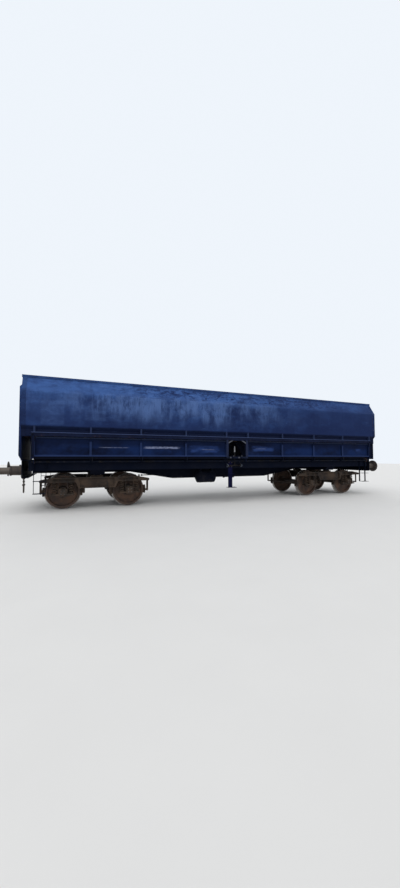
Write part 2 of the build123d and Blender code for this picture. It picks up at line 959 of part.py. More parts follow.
# Headstocks: channels open towards the middle, with the draw-hook and brake-pipe holes
pipe_z = member_bottom_z - pipe_radius - seat_gap
with BuildPart() as headstocks:
    for sign in (-1, 1):
        with BuildSketch(Plane.XZ.offset(-side_sill_outer)):
            with BuildLine():
                Polyline(
                    (sign * sill_half, deck_z),
                    (sign * half_length, deck_z),
                    (sign * half_length, above_rail(headstock_bottom)),
                    (sign * sill_half, above_rail(headstock_bottom)),
                    (sign * sill_half, above_rail(headstock_bottom) + web_thickness),
                    (sign * (half_length - flange_thickness), above_rail(headstock_bottom) + web_thickness),
                    (sign * (half_length - flange_thickness), deck_z - web_thickness),
                    (sign * sill_half, deck_z - web_thickness),
                    close=True,
                )
            make_face()
        extrude(amount=2 * side_sill_outer)
    with BuildSketch(Plane.YZ.offset(-half_length)):
        with Locations((0, above_rail(buffer_height))):
            Rectangle(hook_width + 2 * seat_gap, shank_height + 2 * seat_gap)
        with Locations((pipe_y, pipe_z)):
            Circle(pipe_radius + seat_gap)
    extrude(amount=body_length, mode=Mode.SUBTRACT)
headstocks.part.label = "headstocks"
export_step(headstocks.part, "parts/headstocks.step")

# Body bolsters under and beside the centre sill, with the pivot plate, pivot pin and side bearers
pivot_z = above_rail(bowl_top) + pivot_gap
with BuildPart() as body_bolsters:
    sill_end_z = deck_z - centre_sill_depth_ends
    bolster_line = [
        (0, sill_end_z),
        (member_inner_y, sill_end_z),
        (member_inner_y, member_top_z),
        (sill_inner_y, member_top_z),
        (sill_inner_y, side_sill_bottom_z + sill_web),
        (side_sill_outer - side_sill_width, side_sill_bottom_z + sill_web),
        (bolster_flat, above_rail(bolster_bottom)),
        (0, above_rail(bolster_bottom)),
    ]
    for place_x in (-pivot_x, pivot_x):
        with BuildSketch(Plane.YZ.offset(place_x - bolster_length / 2)):
            with BuildLine():
                Polyline(*bolster_line, close=True)
            make_face()
            mirror(about=Plane.YZ)
            with Locations((pipe_y, pipe_z)):
                Circle(pipe_radius + seat_gap, mode=Mode.SUBTRACT)
        extrude(amount=bolster_length)
        with Locations((place_x, 0, (pivot_z + above_rail(bolster_bottom)) / 2)):
            Cylinder(bowl_radius, above_rail(bolster_bottom) - pivot_z)
        with Locations(
            (place_x, bearer_y, (pivot_z + above_rail(bolster_bottom)) / 2),
            (place_x, -bearer_y, (pivot_z + above_rail(bolster_bottom)) / 2),
        ):
            Box(bearer_size, bearer_size, above_rail(bolster_bottom) - pivot_z)
        with Locations((place_x, 0, pivot_z)):
            Cylinder(pivot_pin_radius, pivot_pin_radius, align=(Align.CENTER, Align.CENTER, Align.MAX))
body_bolsters.part.label = "body_bolsters"
export_step(body_bolsters.part, "parts/body_bolsters.step")

# Buffers: square foot, socket with a collar, plunger and round head, crowned round a flat middle
buffer_z = above_rail(buffer_height)
with BuildPart() as buffers:
    socket_end = buffer_foot_thickness + socket_length
    head_edge = buffer_length - buffer_head_crown
    head_back = head_edge - buffer_head_thickness
    crown_width = buffer_head_radius - buffer_head_flat
    crown_radius = (crown_width**2 + buffer_head_crown**2) / (2 * buffer_head_crown)
    for sign in (-1, 1):
        for side in (-1, 1):
            buffer_y = side * buffer_spacing / 2
            turn = Plane(
                origin=(sign * half_length, buffer_y, buffer_z),
                x_dir=(sign, 0, 0),
                z_dir=(0, 1, 0),
            )
            with BuildSketch(turn):
                with BuildLine():
                    Polyline(
                        (buffer_length, buffer_head_flat),
                        (buffer_length, 0),
                        (buffer_foot_thickness, 0),
                        (buffer_foot_thickness, socket_radius),
                        (socket_end - collar_length, socket_tip_radius),
                        (socket_end - collar_length, collar_radius),
                        (socket_end, collar_radius),
                        (socket_end, plunger_radius),
                        (head_back - buffer_neck, plunger_radius),
                        (head_back, buffer_head_radius),
                        (head_edge, buffer_head_radius),
                    )
                    RadiusArc(
                        (head_edge, buffer_head_radius),
                        (buffer_length, buffer_head_flat),
                        crown_radius,
                    )
                make_face()
            revolve(axis=Axis((0, buffer_y, buffer_z), (1, 0, 0)))
            foot_x = half_length if sign > 0 else -half_length - buffer_foot_thickness
            with BuildSketch(Plane.YZ.offset(foot_x)):
                with Locations((buffer_y, buffer_z)):
                    RectangleRounded(buffer_foot, buffer_foot, buffer_foot_corner)
            extrude(amount=buffer_foot_thickness)
buffers.part.label = "buffers"
export_step(buffers.part, "parts/buffers.step")

# Draw hooks on square shanks through the headstocks, each with a plate against the headstock
hook_x = half_length + hook_reach
eye_x = half_length + eye_reach
mouth_x = hook_x + mouth_shift
mouth_z = buffer_z + mouth_rise
entry_x = mouth_x + hook_mouth - hook_nose - mouth_entry / 2
with BuildPart() as draw_hooks:
    for sign in (-1, 1):
        with BuildSketch(Plane.XZ.offset(-hook_width / 2)):
            with Locations((sign * (sill_half + hook_x) / 2, buffer_z)):
                Rectangle(hook_x - sill_half, shank_height)
            with Locations((sign * hook_x, buffer_z)):
                Circle(hook_radius)
            with Locations((sign * mouth_x, mouth_z)):
                Circle(hook_mouth, mode=Mode.SUBTRACT)
            with Locations((sign * entry_x, mouth_z + hook_radius / 2)):
                Rectangle(mouth_entry, hook_radius, mode=Mode.SUBTRACT)
            with Locations((sign * eye_x, buffer_z)):
                Circle(eye_radius + seat_gap, mode=Mode.SUBTRACT)
        extrude(amount=hook_width)
        plate_x = half_length if sign > 0 else -half_length - draw_plate_thickness
        with BuildSketch(Plane.YZ.offset(plate_x)):
            with Locations((0, buffer_z)):
                RectangleRounded(draw_plate_width, draw_plate_height, buffer_foot_corner)
        extrude(amount=draw_plate_thickness)
draw_hooks.part.label = "draw_hooks"
export_step(draw_hooks.part, "parts/draw_hooks.step")

# Screw couplings hanging from the hook eyes: pin, side links, trunnion, screw with handle, lower shackle
with BuildPart() as screw_couplings:
    link_y = hook_width / 2 + link_gap + link_thickness / 2
    upper_z = buffer_z - link_length
    lower_z = upper_z - screw_length
    ring_z = lower_z - shackle_length
    for sign in (-1, 1):
        x = sign * eye_x
        for pin_z in (buffer_z, upper_z, lower_z, ring_z):
            with BuildSketch(Plane.XZ.offset(-trunnion_length / 2)):
                with Locations((x, pin_z)):
                    Circle(eye_radius if pin_z == buffer_z else coupling_pin_radius)
            extrude(amount=trunnion_length)
        for top_z, foot_z in ((buffer_z, upper_z), (lower_z, ring_z)):
            for side in (-1, 1):
                with BuildSketch(Plane.XZ.offset(-side * link_y - link_thickness / 2)):
                    with Locations((x, (top_z + foot_z) / 2)):
                        SlotCenterToCenter(top_z - foot_z, link_width, rotation=90)
                extrude(amount=link_thickness)
        with BuildSketch(Plane.XY.offset(lower_z)):
            with Locations((x, 0)):
                Circle(screw_radius)
        extrude(amount=upper_z - lower_z)
        middle_z = (upper_z + lower_z) / 2
        with Locations((x, 0, middle_z)):
            Box(2 * link_thickness, handle_length, link_thickness)
screw_couplings.part.label = "screw_couplings"
export_step(screw_couplings.part, "parts/screw_couplings.step")


def tank_profile(place_y, place_x, radius, length, height):
    """Half outline of a tank with two coned ends, in the upright plane through its axis."""
    start = place_x - length / 2
    with BuildSketch(Plane.XZ.offset(-place_y)) as half:
        with BuildLine():
            Polyline(
                (start, height),
                (start, height + radius / 2),
                (start + tank_dome, height + radius),
                (start + length - tank_dome, height + radius),
                (start + length, height + radius / 2),
                (start + length, height),
                close=True,
            )
        make_face()
    return half.sketch


# Air reservoir and brake cylinder, each hung from two cross members
cylinder_z = above_rail(cylinder_height)
rod_end_x = -tank_x - cylinder_length / 2 - push_rod_length
for name, side, place_x, radius, length, height in (
    ("air_reservoir", -1, tank_x, tank_radius, tank_length, tank_height),
    ("brake_cylinder", 1, -tank_x, cylinder_radius, cylinder_length, cylinder_height),
):
    with BuildPart() as tank:
        place_y = side * tank_y
        place_z = above_rail(height)
        revolve(
            tank_profile(place_y, place_x, radius, length, place_z),
            axis=Axis((0, place_y, place_z), (1, 0, 0)),
        )
        for hanger_x in [beam for beam in tank_beam_places if beam * place_x > 0]:
            with Locations((hanger_x, place_y, (place_z + member_bottom_z) / 2)):
                Box(hanger_width, hanger_spread, member_bottom_z - place_z)
        if name == "brake_cylinder":
            with BuildSketch(Plane.YZ.offset(rod_end_x)):
                with Locations((place_y, place_z)):
                    Circle(screw_radius)
            extrude(amount=push_rod_length)
    tank.part.label = name
    export_step(tank.part, f"parts/{name}.step")

# Brake rods: a flat lever at each end of the cylinder, the rod that ties them, and the pull rods, which end
# before the bogies and are held by straps from the cross members
shoe_inner = wheel_radius + shoe_gap
shoe_outer = shoe_inner + shoe_thickness
beam_reach = shoe_outer + brake_beam_gap
bogie_lever_x = pivot_x - wheel_base / 2 - beam_reach
live_lever_x = rod_end_x - brake_lever_width / 2
dead_lever_x = -tank_x + cylinder_length / 2 + brake_lever_width / 2
rod_tip_x = bogie_lever_x - pull_rod_gap
with BuildPart() as brake_rods:
    with BuildSketch(Plane.XY.offset(cylinder_z - brake_lever_thickness / 2)):
        with Locations((live_lever_x, (tank_y + pull_rod_y) / 2), (dead_lever_x, (tank_y + pull_rod_y) / 2)):
            SlotCenterToCenter(tank_y - pull_rod_y, brake_lever_width, rotation=90)
    extrude(amount=brake_lever_thickness)
    # Rods along the wagon: start, end, place across it and radius
    for rod_start, rod_stop, rod_y, rod_radius in (
        (live_lever_x, dead_lever_x, tie_rod_y, pull_rod_radius),
        (-rod_tip_x, live_lever_x, pull_rod_y, pull_rod_radius),
        (dead_lever_x, rod_tip_x, pull_rod_y, pull_rod_radius),
        (adjuster_x - adjuster_length / 2, adjuster_x + adjuster_length / 2, pull_rod_y, adjuster_radius),
    ):
        with BuildSketch(Plane.YZ.offset(rod_start)):
            with Locations((rod_y, cylinder_z)):
                Circle(rod_radius)
        extrude(amount=rod_stop - rod_start)
    with BuildSketch(Plane.XZ.offset(-pull_rod_y - pull_rod_radius)):
        with Locations((-rod_tip_x + rod_eye_radius, cylinder_z), (rod_tip_x - rod_eye_radius, cylinder_z)):
            Circle(rod_eye_radius)
            Circle(rod_pin_radius, mode=Mode.SUBTRACT)
    extrude(amount=2 * pull_rod_radius)
    for strap_x in (member_places[0], member_places[2]):
        with Locations((strap_x, pull_rod_y, (cylinder_z + member_bottom_z) / 2)):
            Box(hanger_width, web_thickness, member_bottom_z - cylinder_z)
brake_rods.part.label = "brake_rods"
export_step(brake_rods.part, "parts/brake_rods.step")

# Brake pipe under the cross members, with an angle cock at each end
with BuildPart() as brake_pipe:
    with BuildSketch(Plane.YZ.offset(-half_length - cock_reach)):
        with Locations((pipe_y, pipe_z)):
            Circle(pipe_radius)
    extrude(amount=body_length + 2 * cock_reach)
    for sign in (-1, 1):
        cock_x = sign * (half_length + cock_reach)
        with BuildSketch(Plane.XZ.offset(-pipe_y - cock_width / 2)):
            with BuildLine():
                Polyline(
                    (cock_x - sign * cock_back, pipe_z + cock_half_height),
                    (cock_x + sign * cock_back, pipe_z + cock_half_height),
                    (cock_x + sign * cock_front, pipe_z - cock_half_height),
                    (cock_x + sign * cock_spout, pipe_z - 2 * cock_half_height),
                    (cock_x - sign * cock_back, pipe_z - cock_half_height),
                    close=True,
                )
            make_face()
        extrude(amount=cock_width)
brake_pipe.part.label = "brake_pipe"
export_step(brake_pipe.part, "parts/brake_pipe.step")

# Centre steps: one hanger with a tread on each side, below the control levers
with BuildPart() as centre_steps:
    for side in (-1, 1):
        place_x = -side * step_hanger_x
        plate_y = side * (side_sill_outer + step_sheet / 2)
        low_z = above_rail(centre_tread_height)
        high_z = above_rail(step_hanger_top)
        with Locations((place_x, plate_y, (low_z + high_z) / 2)):
            Box(step_hanger_width, step_sheet, high_z - low_z)
        for tread_z in (low_z, (low_z + high_z) / 2):
            with Locations((place_x, side * (side_sill_outer + step_sheet + tread_depth / 2), tread_z)):
                Box(tread_length if tread_z == low_z else step_hanger_width, tread_depth, tread_thickness)
centre_steps.part.label = "centre_steps"
export_step(centre_steps.part, "parts/centre_steps.step")

# Corner steps: two flat hangers and two treads at each corner
corner_step_x = half_length - corner_step_inset
with BuildPart() as corner_steps:
    for sign in (-1, 1):
        for side in (-1, 1):
            low_z = above_rail(corner_tread_heights[0])
            high_z = above_rail(step_hanger_top)
            for hanger_side in (-1, 1):
                hanger_x = sign * corner_step_x + hanger_side * (tread_length - step_sheet) / 2
                with Locations((hanger_x, side * (side_sill_outer + step_strap_width / 2), (low_z + high_z) / 2)):
                    Box(step_sheet, step_strap_width, high_z - low_z)
            for tread_height in corner_tread_heights:
                tread_y = side * (side_sill_outer + step_strap_width / 2 + tread_depth / 2)
                with Locations((sign * corner_step_x, tread_y, above_rail(tread_height))):
                    Box(tread_length, tread_depth, tread_thickness)
corner_steps.part.label = "corner_steps"
export_step(corner_steps.part, "parts/corner_steps.step")

# Corner handrails: bent rods in front of the end posts
with BuildPart() as handrails:
    for sign in (-1, 1):
        rail_x = sign * (flap_far_end + post_width / 2 + rail_radius)
        for side in (-1, 1):
            outer_y = side * (beam_outer_y + rail_stand_off)
            with BuildLine() as rail_path:
                FilletPolyline(
                    (rail_x, side * beam_outer_y, above_rail(rail_low_height)),
                    (rail_x, outer_y, above_rail(rail_low_height)),
                    (rail_x, outer_y, above_rail(rail_high_height)),
                    (rail_x, side * beam_outer_y, above_rail(rail_high_height)),
                    radius=rail_bend,
                )
            with BuildSketch(Plane(origin=rail_path.line @ 0, z_dir=rail_path.line % 0)):
                Circle(rail_radius)
            sweep(path=rail_path.line)
handrails.part.label = "handrails"
export_step(handrails.part, "parts/handrails.step")

# Control levers: a short shaft on two brackets of the side sill, with a hand lever and a link to the crank
lever_y = side_sill_outer + lever_stand_off
lever_z = above_rail(lever_pivot_height)
bracket_tip_y = lever_y + lever_bracket_margin
with BuildPart() as control_levers:
    for side in (-1, 1):
        centre_x = -side * lever_x
        with BuildSketch(Plane.YZ.offset(centre_x - lever_bracket_offset - arm_thickness)):
            with Locations((side * lever_y, lever_z)):
                Circle(lever_shaft_radius)
        extrude(amount=2 * (lever_bracket_offset + arm_thickness))
        for end in (-1, 1):
            with BuildSketch(Plane.YZ.offset(centre_x + end * lever_bracket_offset - arm_thickness / 2)):
                with BuildLine():
                    Polyline(
                        (side * side_sill_outer, lever_z + lever_bracket_height / 2),
                        (side * bracket_tip_y, lever_z + lever_bracket_nose / 2),
                        (side * bracket_tip_y, lever_z - lever_bracket_nose / 2),
                        (side * side_sill_outer, lever_z - lever_bracket_height / 2),
                        close=True,
                    )
                make_face()
            extrude(amount=arm_thickness)
        with Locations((centre_x, side * lever_y, lever_z + lever_length / 2)):
            Box(lever_width, arm_thickness, lever_length)
        with Locations((centre_x, side * lever_y, lever_z + lever_length)):
            Cylinder(grip_radius, grip_length)
        # Arm on the lever's shaft, and the link up to the crank of the operating shaft beside it
        with BuildSketch(Plane.YZ.offset(crank_offset)):
            SlotCenterPoint((side * (lever_y + crank_y) / 2, lever_z), (side * crank_y, lever_z), crank_width)
        extrude(amount=arm_thickness)
        with BuildSketch(Plane.YZ.offset(crank_offset + arm_thickness)):
            with Locations((side * crank_y, (lever_z + crank_pin_z) / 2)):
                SlotCenterToCenter(crank_pin_z - lever_z, crank_width, rotation=90)
        extrude(amount=arm_thickness)
control_levers.part.label = "control_levers"
export_step(control_levers.part, "parts/control_levers.step")

# Bogies: frame, axle boxes, springs and brake gear, all placed about the pivot
side_y = journal_spacing / 2
wing_half = spring_offset + spring_radius + wing_margin
spring_seat_z = above_rail(spring_seat_height)
frame_under_z = above_rail(side_frame_underside)
frame_half = wheel_base / 2 + side_frame_overhang
belly_end = wheel_base / 2 - wing_half - wing_to_belly
beam_z = above_rail(wheel_radius - brake_beam_drop)
shoe_y = wheel_back_to_back / 2 + wheel_width - shoe_inset - shoe_width / 2
hanger_y = side_y - side_frame_thickness / 2 + brake_hanger_inset
axle_table = (("1", -wheel_base / 2), ("2", wheel_base / 2))

# Right half of a wheelset as (y, radius), from the middle of the axle out to the journal and back to the axis
inner_face = wheel_back_to_back / 2
outer_face = inner_face + wheel_width
disc_hub_y = inner_face + (wheel_width + disc_dish) / 2
disc_rim_y = inner_face + (wheel_width - disc_dish) / 2
rim_radius = wheel_radius - rim_thickness
flange_radius = wheel_radius + flange_height
wheel_half = [
    (0, axle_radius),
    (inner_face - hub_inner_reach, axle_radius),
    (inner_face - hub_inner_reach, hub_radius),
    (disc_hub_y - disc_thickness / 2, hub_radius + hub_fillet),
    (disc_rim_y - disc_thickness / 2, rim_radius - rim_fillet),
    (inner_face, rim_radius),
    (inner_face, flange_radius - flange_round),
    (inner_face + flange_tip, flange_radius),
    (inner_face + flange_shoulder, flange_radius - flange_round / 2),
    (inner_face + flange_root, wheel_radius + tread_cone / 2),
    (outer_face, wheel_radius - tread_cone),
    (outer_face, rim_radius),
    (disc_rim_y + disc_thickness / 2, rim_radius - rim_fillet),
    (disc_hub_y + disc_thickness / 2, hub_radius + hub_fillet),
    (outer_face + hub_outer_reach, hub_radius),
    (outer_face + hub_outer_reach, journal_radius),
    (journal_end, journal_radius),
    (journal_end, 0),
]


def frame_foot_z(towards_end):
    """z of the side frame's underside above a brake beam: its end for an outer beam, its belly else."""
    return frame_under_z if towards_end > 0 else above_rail(side_frame_belly)


def side_frame_face(middle_x, place_y):
    """Sketch of a bogie side frame's outline at a place across the wagon."""
    right_half = [
        (0, above_rail(side_frame_top)),
        (frame_half - side_frame_slope, above_rail(side_frame_top)),
        (frame_half, above_rail(side_frame_top - side_frame_drop)),
        (frame_half, frame_under_z),
        (belly_end, frame_under_z),
        (belly_end - belly_slope, above_rail(side_frame_belly)),
        (0, above_rail(side_frame_belly)),
    ]
    left_half = [(-x, z) for x, z in right_half[::-1]]
    with BuildSketch(Plane.XZ.offset(-place_y)) as face:
        with BuildLine():
            Polyline(*[(middle_x + x, z) for x, z in right_half[1:-1] + left_half[1:-1]], close=True)
        make_face()
        fillet(face.vertices(), side_frame_corner)
    return face.sketch


def side_frame_panels(middle_x, place_y):
    """Sketch of the recesses in a side frame's face: one in its belly and one over each pair of springs."""
    belly_z = above_rail((side_frame_belly + side_frame_top) / 2)
    belly_high = side_frame_top - side_frame_belly - 2 * side_frame_border
    end_z = above_rail((side_frame_underside + side_frame_top) / 2)
    end_high = side_frame_top - side_frame_underside - 2 * side_frame_border
    end_start = belly_end + side_frame_border
    end_stop = frame_half - side_frame_slope
    with BuildSketch(Plane.XZ.offset(-place_y)) as panels:
        with Locations((middle_x, belly_z)):
            RectangleRounded(2 * (belly_end - belly_slope - side_frame_border), belly_high, side_frame_corner)
        for way in (-1, 1):
            with Locations((middle_x + way * (end_start + end_stop) / 2, end_z)):
                RectangleRounded(end_stop - end_start, end_high, side_frame_corner)
    return panels.sketch


for bogie_name, end in ENDS:
    middle_x = end * pivot_x
    with BuildPart() as bogie_frame:
        panel_depth = (side_frame_thickness - side_frame_web) / 2
        horn_top = frame_under_z + side_frame_border
        horn_foot = above_rail(horn_height)
        horn_x = axle_box_width / 2 + horn_gap + horn_thickness / 2
        for side in (-1, 1):
            far_y = side * side_y + side_frame_thickness / 2
            near_y = side * side_y - side_frame_thickness / 2
            extrude(side_frame_face(middle_x, far_y), amount=side_frame_thickness)
            for panel_y in (far_y, near_y + panel_depth):
                extrude(side_frame_panels(middle_x, panel_y), amount=panel_depth, mode=Mode.SUBTRACT)
            # Horn guides beside the axle boxes, and ribs over them
            for axle_name, axle_x in axle_table:
                for horn_side in (-1, 1):
                    place_x = middle_x + axle_x + horn_side * horn_x
                    with Locations((place_x, side * side_y, (horn_foot + horn_top) / 2)):
                        Box(horn_thickness, side_frame_thickness, horn_top - horn_foot)
                    rib_foot = frame_under_z
                    rib_top = above_rail(side_frame_top - side_frame_drop)
                    with Locations((place_x, side * side_y, (rib_foot + rib_top) / 2)):
                        Box(horn_thickness, side_frame_thickness, rib_top - rib_foot)
        transom_middle_z = above_rail((transom_bottom + transom_top) / 2)
        with Locations((middle_x, 0, transom_middle_z)):
            Box(transom_width, 2 * side_y - side_frame_web, transom_top - transom_bottom)
        with Locations((middle_x, 0, above_rail((transom_top + bowl_top) / 2))):
            Cylinder(bowl_radius, bowl_top - transom_top)
        with Locations((middle_x, 0, above_rail(bowl_top))):
            Cylinder(
                pivot_pin_radius + pivot_pin_clearance,
                pivot_pin_radius + running_gap,
                align=(Align.CENTER, Align.CENTER, Align.MAX),
                mode=Mode.SUBTRACT,
            )
        with Locations(
            (middle_x, bearer_y, above_rail((transom_top + bowl_top) / 2)),
            (middle_x, -bearer_y, above_rail((transom_top + bowl_top) / 2)),
        ):
            Box(2 * bearer_size, bearer_size, bowl_top - transom_top)
    bogie_frame.part.label = f"bogie_frame_{bogie_name}"
    export_step(bogie_frame.part, f"parts/bogie_frame_{bogie_name}.step")

    with BuildPart() as axle_boxes:
        for axle_name, axle_x in axle_table:
            for side in (-1, 1):
                with BuildSketch(Plane.XZ.offset(-side * side_y - axle_box_length / 2)):
                    with Locations((middle_x + axle_x, axle_z)):
                        RectangleRounded(axle_box_width, axle_box_width, axle_box_corner)
                    with Locations((middle_x + axle_x, spring_seat_z - wing_thickness / 2)):
                        Rectangle(2 * wing_half, wing_thickness)
                extrude(amount=axle_box_length)
                cover_y = side * (side_y + axle_box_length / 2)
                with BuildSketch(Plane.XZ.offset(-cover_y)):
                    with Locations((middle_x + axle_x, axle_z)):
                        Circle(box_cover_radius)
                extrude(amount=-side * box_cover_thickness)
        for axle_name, axle_x in axle_table:
            with BuildSketch(Plane.XZ.offset(-journal_end - running_gap)):
                with Locations((middle_x + axle_x, axle_z)):
                    Circle(journal_radius + pin_clearance)
            extrude(amount=2 * (journal_end + running_gap), mode=Mode.SUBTRACT)
    axle_boxes.part.label = f"axle_boxes_{bogie_name}"
    export_step(axle_boxes.part, f"parts/axle_boxes_{bogie_name}.step")

    # Springs between the axle boxes' wings and the side frames, grooved between their turns
    with BuildPart() as springs:
        turn_height = (frame_under_z - spring_seat_z) / spring_turns
        spring_half = [(0, spring_seat_z)]
        for turn in range(spring_turns):
            turn_z = spring_seat_z + turn * turn_height
            spring_half += [(spring_radius - spring_groove, turn_z), (spring_radius, turn_z + turn_height / 2)]
        spring_half += [(spring_radius - spring_groove, frame_under_z), (0, frame_under_z)]
        for axle_name, axle_x in axle_table:
            for spring_side in (-1, 1):
                for side in (-1, 1):
                    place_x = middle_x + axle_x + spring_side * spring_offset
                    with BuildSketch(Plane.XZ.offset(-side * side_y)):
                        with BuildLine():
                            Polyline(*[(place_x + r, z) for r, z in spring_half], close=True)
                        make_face()
                    revolve(axis=Axis((place_x, side * side_y, 0), (0, 0, 1)))
    springs.part.label = f"springs_{bogie_name}"
    export_step(springs.part, f"parts/springs_{bogie_name}.step")

    # Brake gear: two shoes and a cross beam before and behind each axle, hung from the side frames
    with BuildPart() as brake_gear:
        for axle_name, axle_x in axle_table:
            wheel_x = middle_x + axle_x
            for facing, start_angle in ((1, -shoe_angle), (-1, 180 - shoe_angle)):
                beam_x = wheel_x + facing * beam_reach
                for side in (-1, 1):
                    with BuildSketch(Plane.XZ.offset(-side * shoe_y - shoe_width / 2)):
                        with BuildLine():
                            inner = CenterArc((wheel_x, axle_z), shoe_inner, start_angle, 2 * shoe_angle)
                            outer = CenterArc((wheel_x, axle_z), shoe_outer, start_angle, 2 * shoe_angle)
                            Line(inner @ 0, outer @ 0)
                            Line(inner @ 1, outer @ 1)
                        make_face()
                    extrude(amount=shoe_width)
                    with Locations((beam_x, side * hanger_y, (beam_z + frame_foot_z(facing * axle_x)) / 2)):
                        Box(hanger_width, web_thickness, frame_foot_z(facing * axle_x) - beam_z)
                with BuildSketch(Plane.XZ.offset(-hanger_y - web_thickness)):
                    with Locations((beam_x, beam_z)):
                        Circle(brake_beam_radius)
                extrude(amount=2 * (hanger_y + web_thickness))
        # Upright lever on the beam nearest to mid-length, with the eye that the pull rod would hold
        lever_foot_x = end * bogie_lever_x
        with BuildSketch(Plane.XZ.offset(-pull_rod_y - brake_lever_thickness / 2)):
            with Locations((lever_foot_x, (beam_z + cylinder_z) / 2)):
                SlotCenterToCenter(cylinder_z - beam_z, brake_lever_width, rotation=90)
            with Locations((lever_foot_x, cylinder_z)):
                Circle(rod_pin_radius, mode=Mode.SUBTRACT)
        extrude(amount=brake_lever_thickness)
    brake_gear.part.label = f"brake_gear_{bogie_name}"
    export_step(brake_gear.part, f"parts/brake_gear_{bogie_name}.step")

    # Wheelsets: axle with journals, wheel seats and two wheels, turned as one
    for axle_name, axle_x in axle_table:
        with BuildPart() as wheelset:
            turning = Plane(origin=(middle_x + axle_x, 0, axle_z), x_dir=(0, 1, 0), z_dir=(1, 0, 0))
            with BuildSketch(turning):
                mirrored = [(-y, r) for y, r in wheel_half[:0:-1]]
                with BuildLine():
                    Polyline(*wheel_half, *mirrored, close=True)
                make_face()
            revolve(axis=Axis((middle_x + axle_x, 0, axle_z), (0, 1, 0)))
        wheelset.part.label = f"wheelset_{bogie_name}{axle_name}"
        export_step(wheelset.part, f"parts/wheelset_{bogie_name}{axle_name}.step")
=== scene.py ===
import math

import bpy
import numpy as np
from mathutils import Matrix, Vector


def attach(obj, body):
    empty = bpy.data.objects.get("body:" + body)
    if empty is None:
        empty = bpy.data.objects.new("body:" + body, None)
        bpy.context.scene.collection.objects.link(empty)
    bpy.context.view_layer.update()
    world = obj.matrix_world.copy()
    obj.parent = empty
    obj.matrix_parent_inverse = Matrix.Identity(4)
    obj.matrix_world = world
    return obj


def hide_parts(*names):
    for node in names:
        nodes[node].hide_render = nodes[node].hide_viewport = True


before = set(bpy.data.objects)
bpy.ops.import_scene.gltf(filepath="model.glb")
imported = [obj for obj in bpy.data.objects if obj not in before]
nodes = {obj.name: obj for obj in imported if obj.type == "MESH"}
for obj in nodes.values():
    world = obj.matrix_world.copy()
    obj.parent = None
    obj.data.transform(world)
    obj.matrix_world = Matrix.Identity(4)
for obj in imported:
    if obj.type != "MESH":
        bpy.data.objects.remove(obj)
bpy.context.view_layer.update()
scene = bpy.context.scene

# Lines of the wagon that the new pieces and the wear follow, in metres
wagon = {
    "halfLength": 6.13,
    # y and z of the side wall's outer face, from its foot to the rim
    "wallLine": [(1.425, 1.978), (1.425, 2.163), (1.5, 2.253), (1.5, 3.128), (1.272, 3.518)],
    "sheet": 0.008,
    "postLines": (-4.47, -3.11, -1.75, 1.75, 3.11, 4.47),  # where the posts stand behind the walls
    "barTop": 2.092,
    "axleHeight": 0.488,
    "axles": {"a": (-5.15, -3.35), "b": (3.35, 5.15)},
    "buffer": (0.875, 1.088),  # y and z of its middle
}


# Camera, floor and light
camera = {
    "eye": (-5.025, -10.565, 1.453),  # metres
    "heading": 67.7,  # degrees from the wagon's length to the line of sight
    "pitch": 2.32,  # degrees above level
    "focalPixels": 321,  # focal length in pixels of the picture's long side
    "longSide": 888,
    "sensor": 36,
    "reach": 400,
}
light = {
    "world": 0.62,
    "worldColor": (0.92, 0.95, 1.0),
    "background": (0.86, 0.91, 0.97),
    "lamps": [
        # name, energy, spread in degrees, direction that it shines in, colour
        ("skyLamp", 1.15, 70, (0.25, 0.35, -1.0), (1.0, 0.985, 0.96)),
        ("nearLamp", 0.55, 60, (0.25, 1.0, -0.45), (0.97, 0.985, 1.0)),
        ("farLamp", 0.5, 60, (-0.2, -1.0, -0.5), (1.0, 0.99, 0.97)),
    ],
    "floor": (0.74, 0.735, 0.72),
    "floorWorn": 0.95,  # how bright its darker spots are
    "floorHalf": 60,
}


def aimed(name, data, direction, place=(0, 0, 0)):
    # a camera or lamp that looks in the direction
    seat = bpy.data.objects.new(name, data)
    scene.collection.objects.link(seat)
    seat.location = place
    seat.rotation_mode = "QUATERNION"
    seat.rotation_quaternion = Vector(direction).to_track_quat("-Z", "Y")
    return seat


def setCamera():
    data = bpy.data.cameras.new("viewpoint")
    data.sensor_width = camera["sensor"]
    data.lens = camera["focalPixels"] / camera["longSide"] * camera["sensor"]
    data.clip_end = camera["reach"]
    heading, pitch = math.radians(camera["heading"]), math.radians(camera["pitch"])
    level = math.cos(pitch)
    sight = (math.cos(heading) * level, math.sin(heading) * level, math.sin(pitch))
    scene.camera = aimed("viewpoint", data, sight, camera["eye"])


def mathMethod(operation):
    # a method of Value that adds one Math node
    def method(self, *others):
        return self.math(operation, self, *others)
    return method


class Value:
    # one output of a node; sums, differences and products of it are Math nodes
    def __init__(self, shader, socket):
        self.shader = shader
        self.socket = socket

    def math(self, operation, *terms):
        return self.shader.node("ShaderNodeMath", {"operation": operation}, dict(enumerate(terms)))

    def __rsub__(self, other):
        return self.math("SUBTRACT", other, self)

    __add__ = __radd__ = mathMethod("ADD")
    __mul__ = __rmul__ = mathMethod("MULTIPLY")
    __sub__ = mathMethod("SUBTRACT")
    __abs__ = mathMethod("ABSOLUTE")
    highest = mathMethod("MAXIMUM")
    lowest = mathMethod("MINIMUM")
    root = mathMethod("SQRT")


def distance(across, upward):
    return (across * across + upward * upward).root()


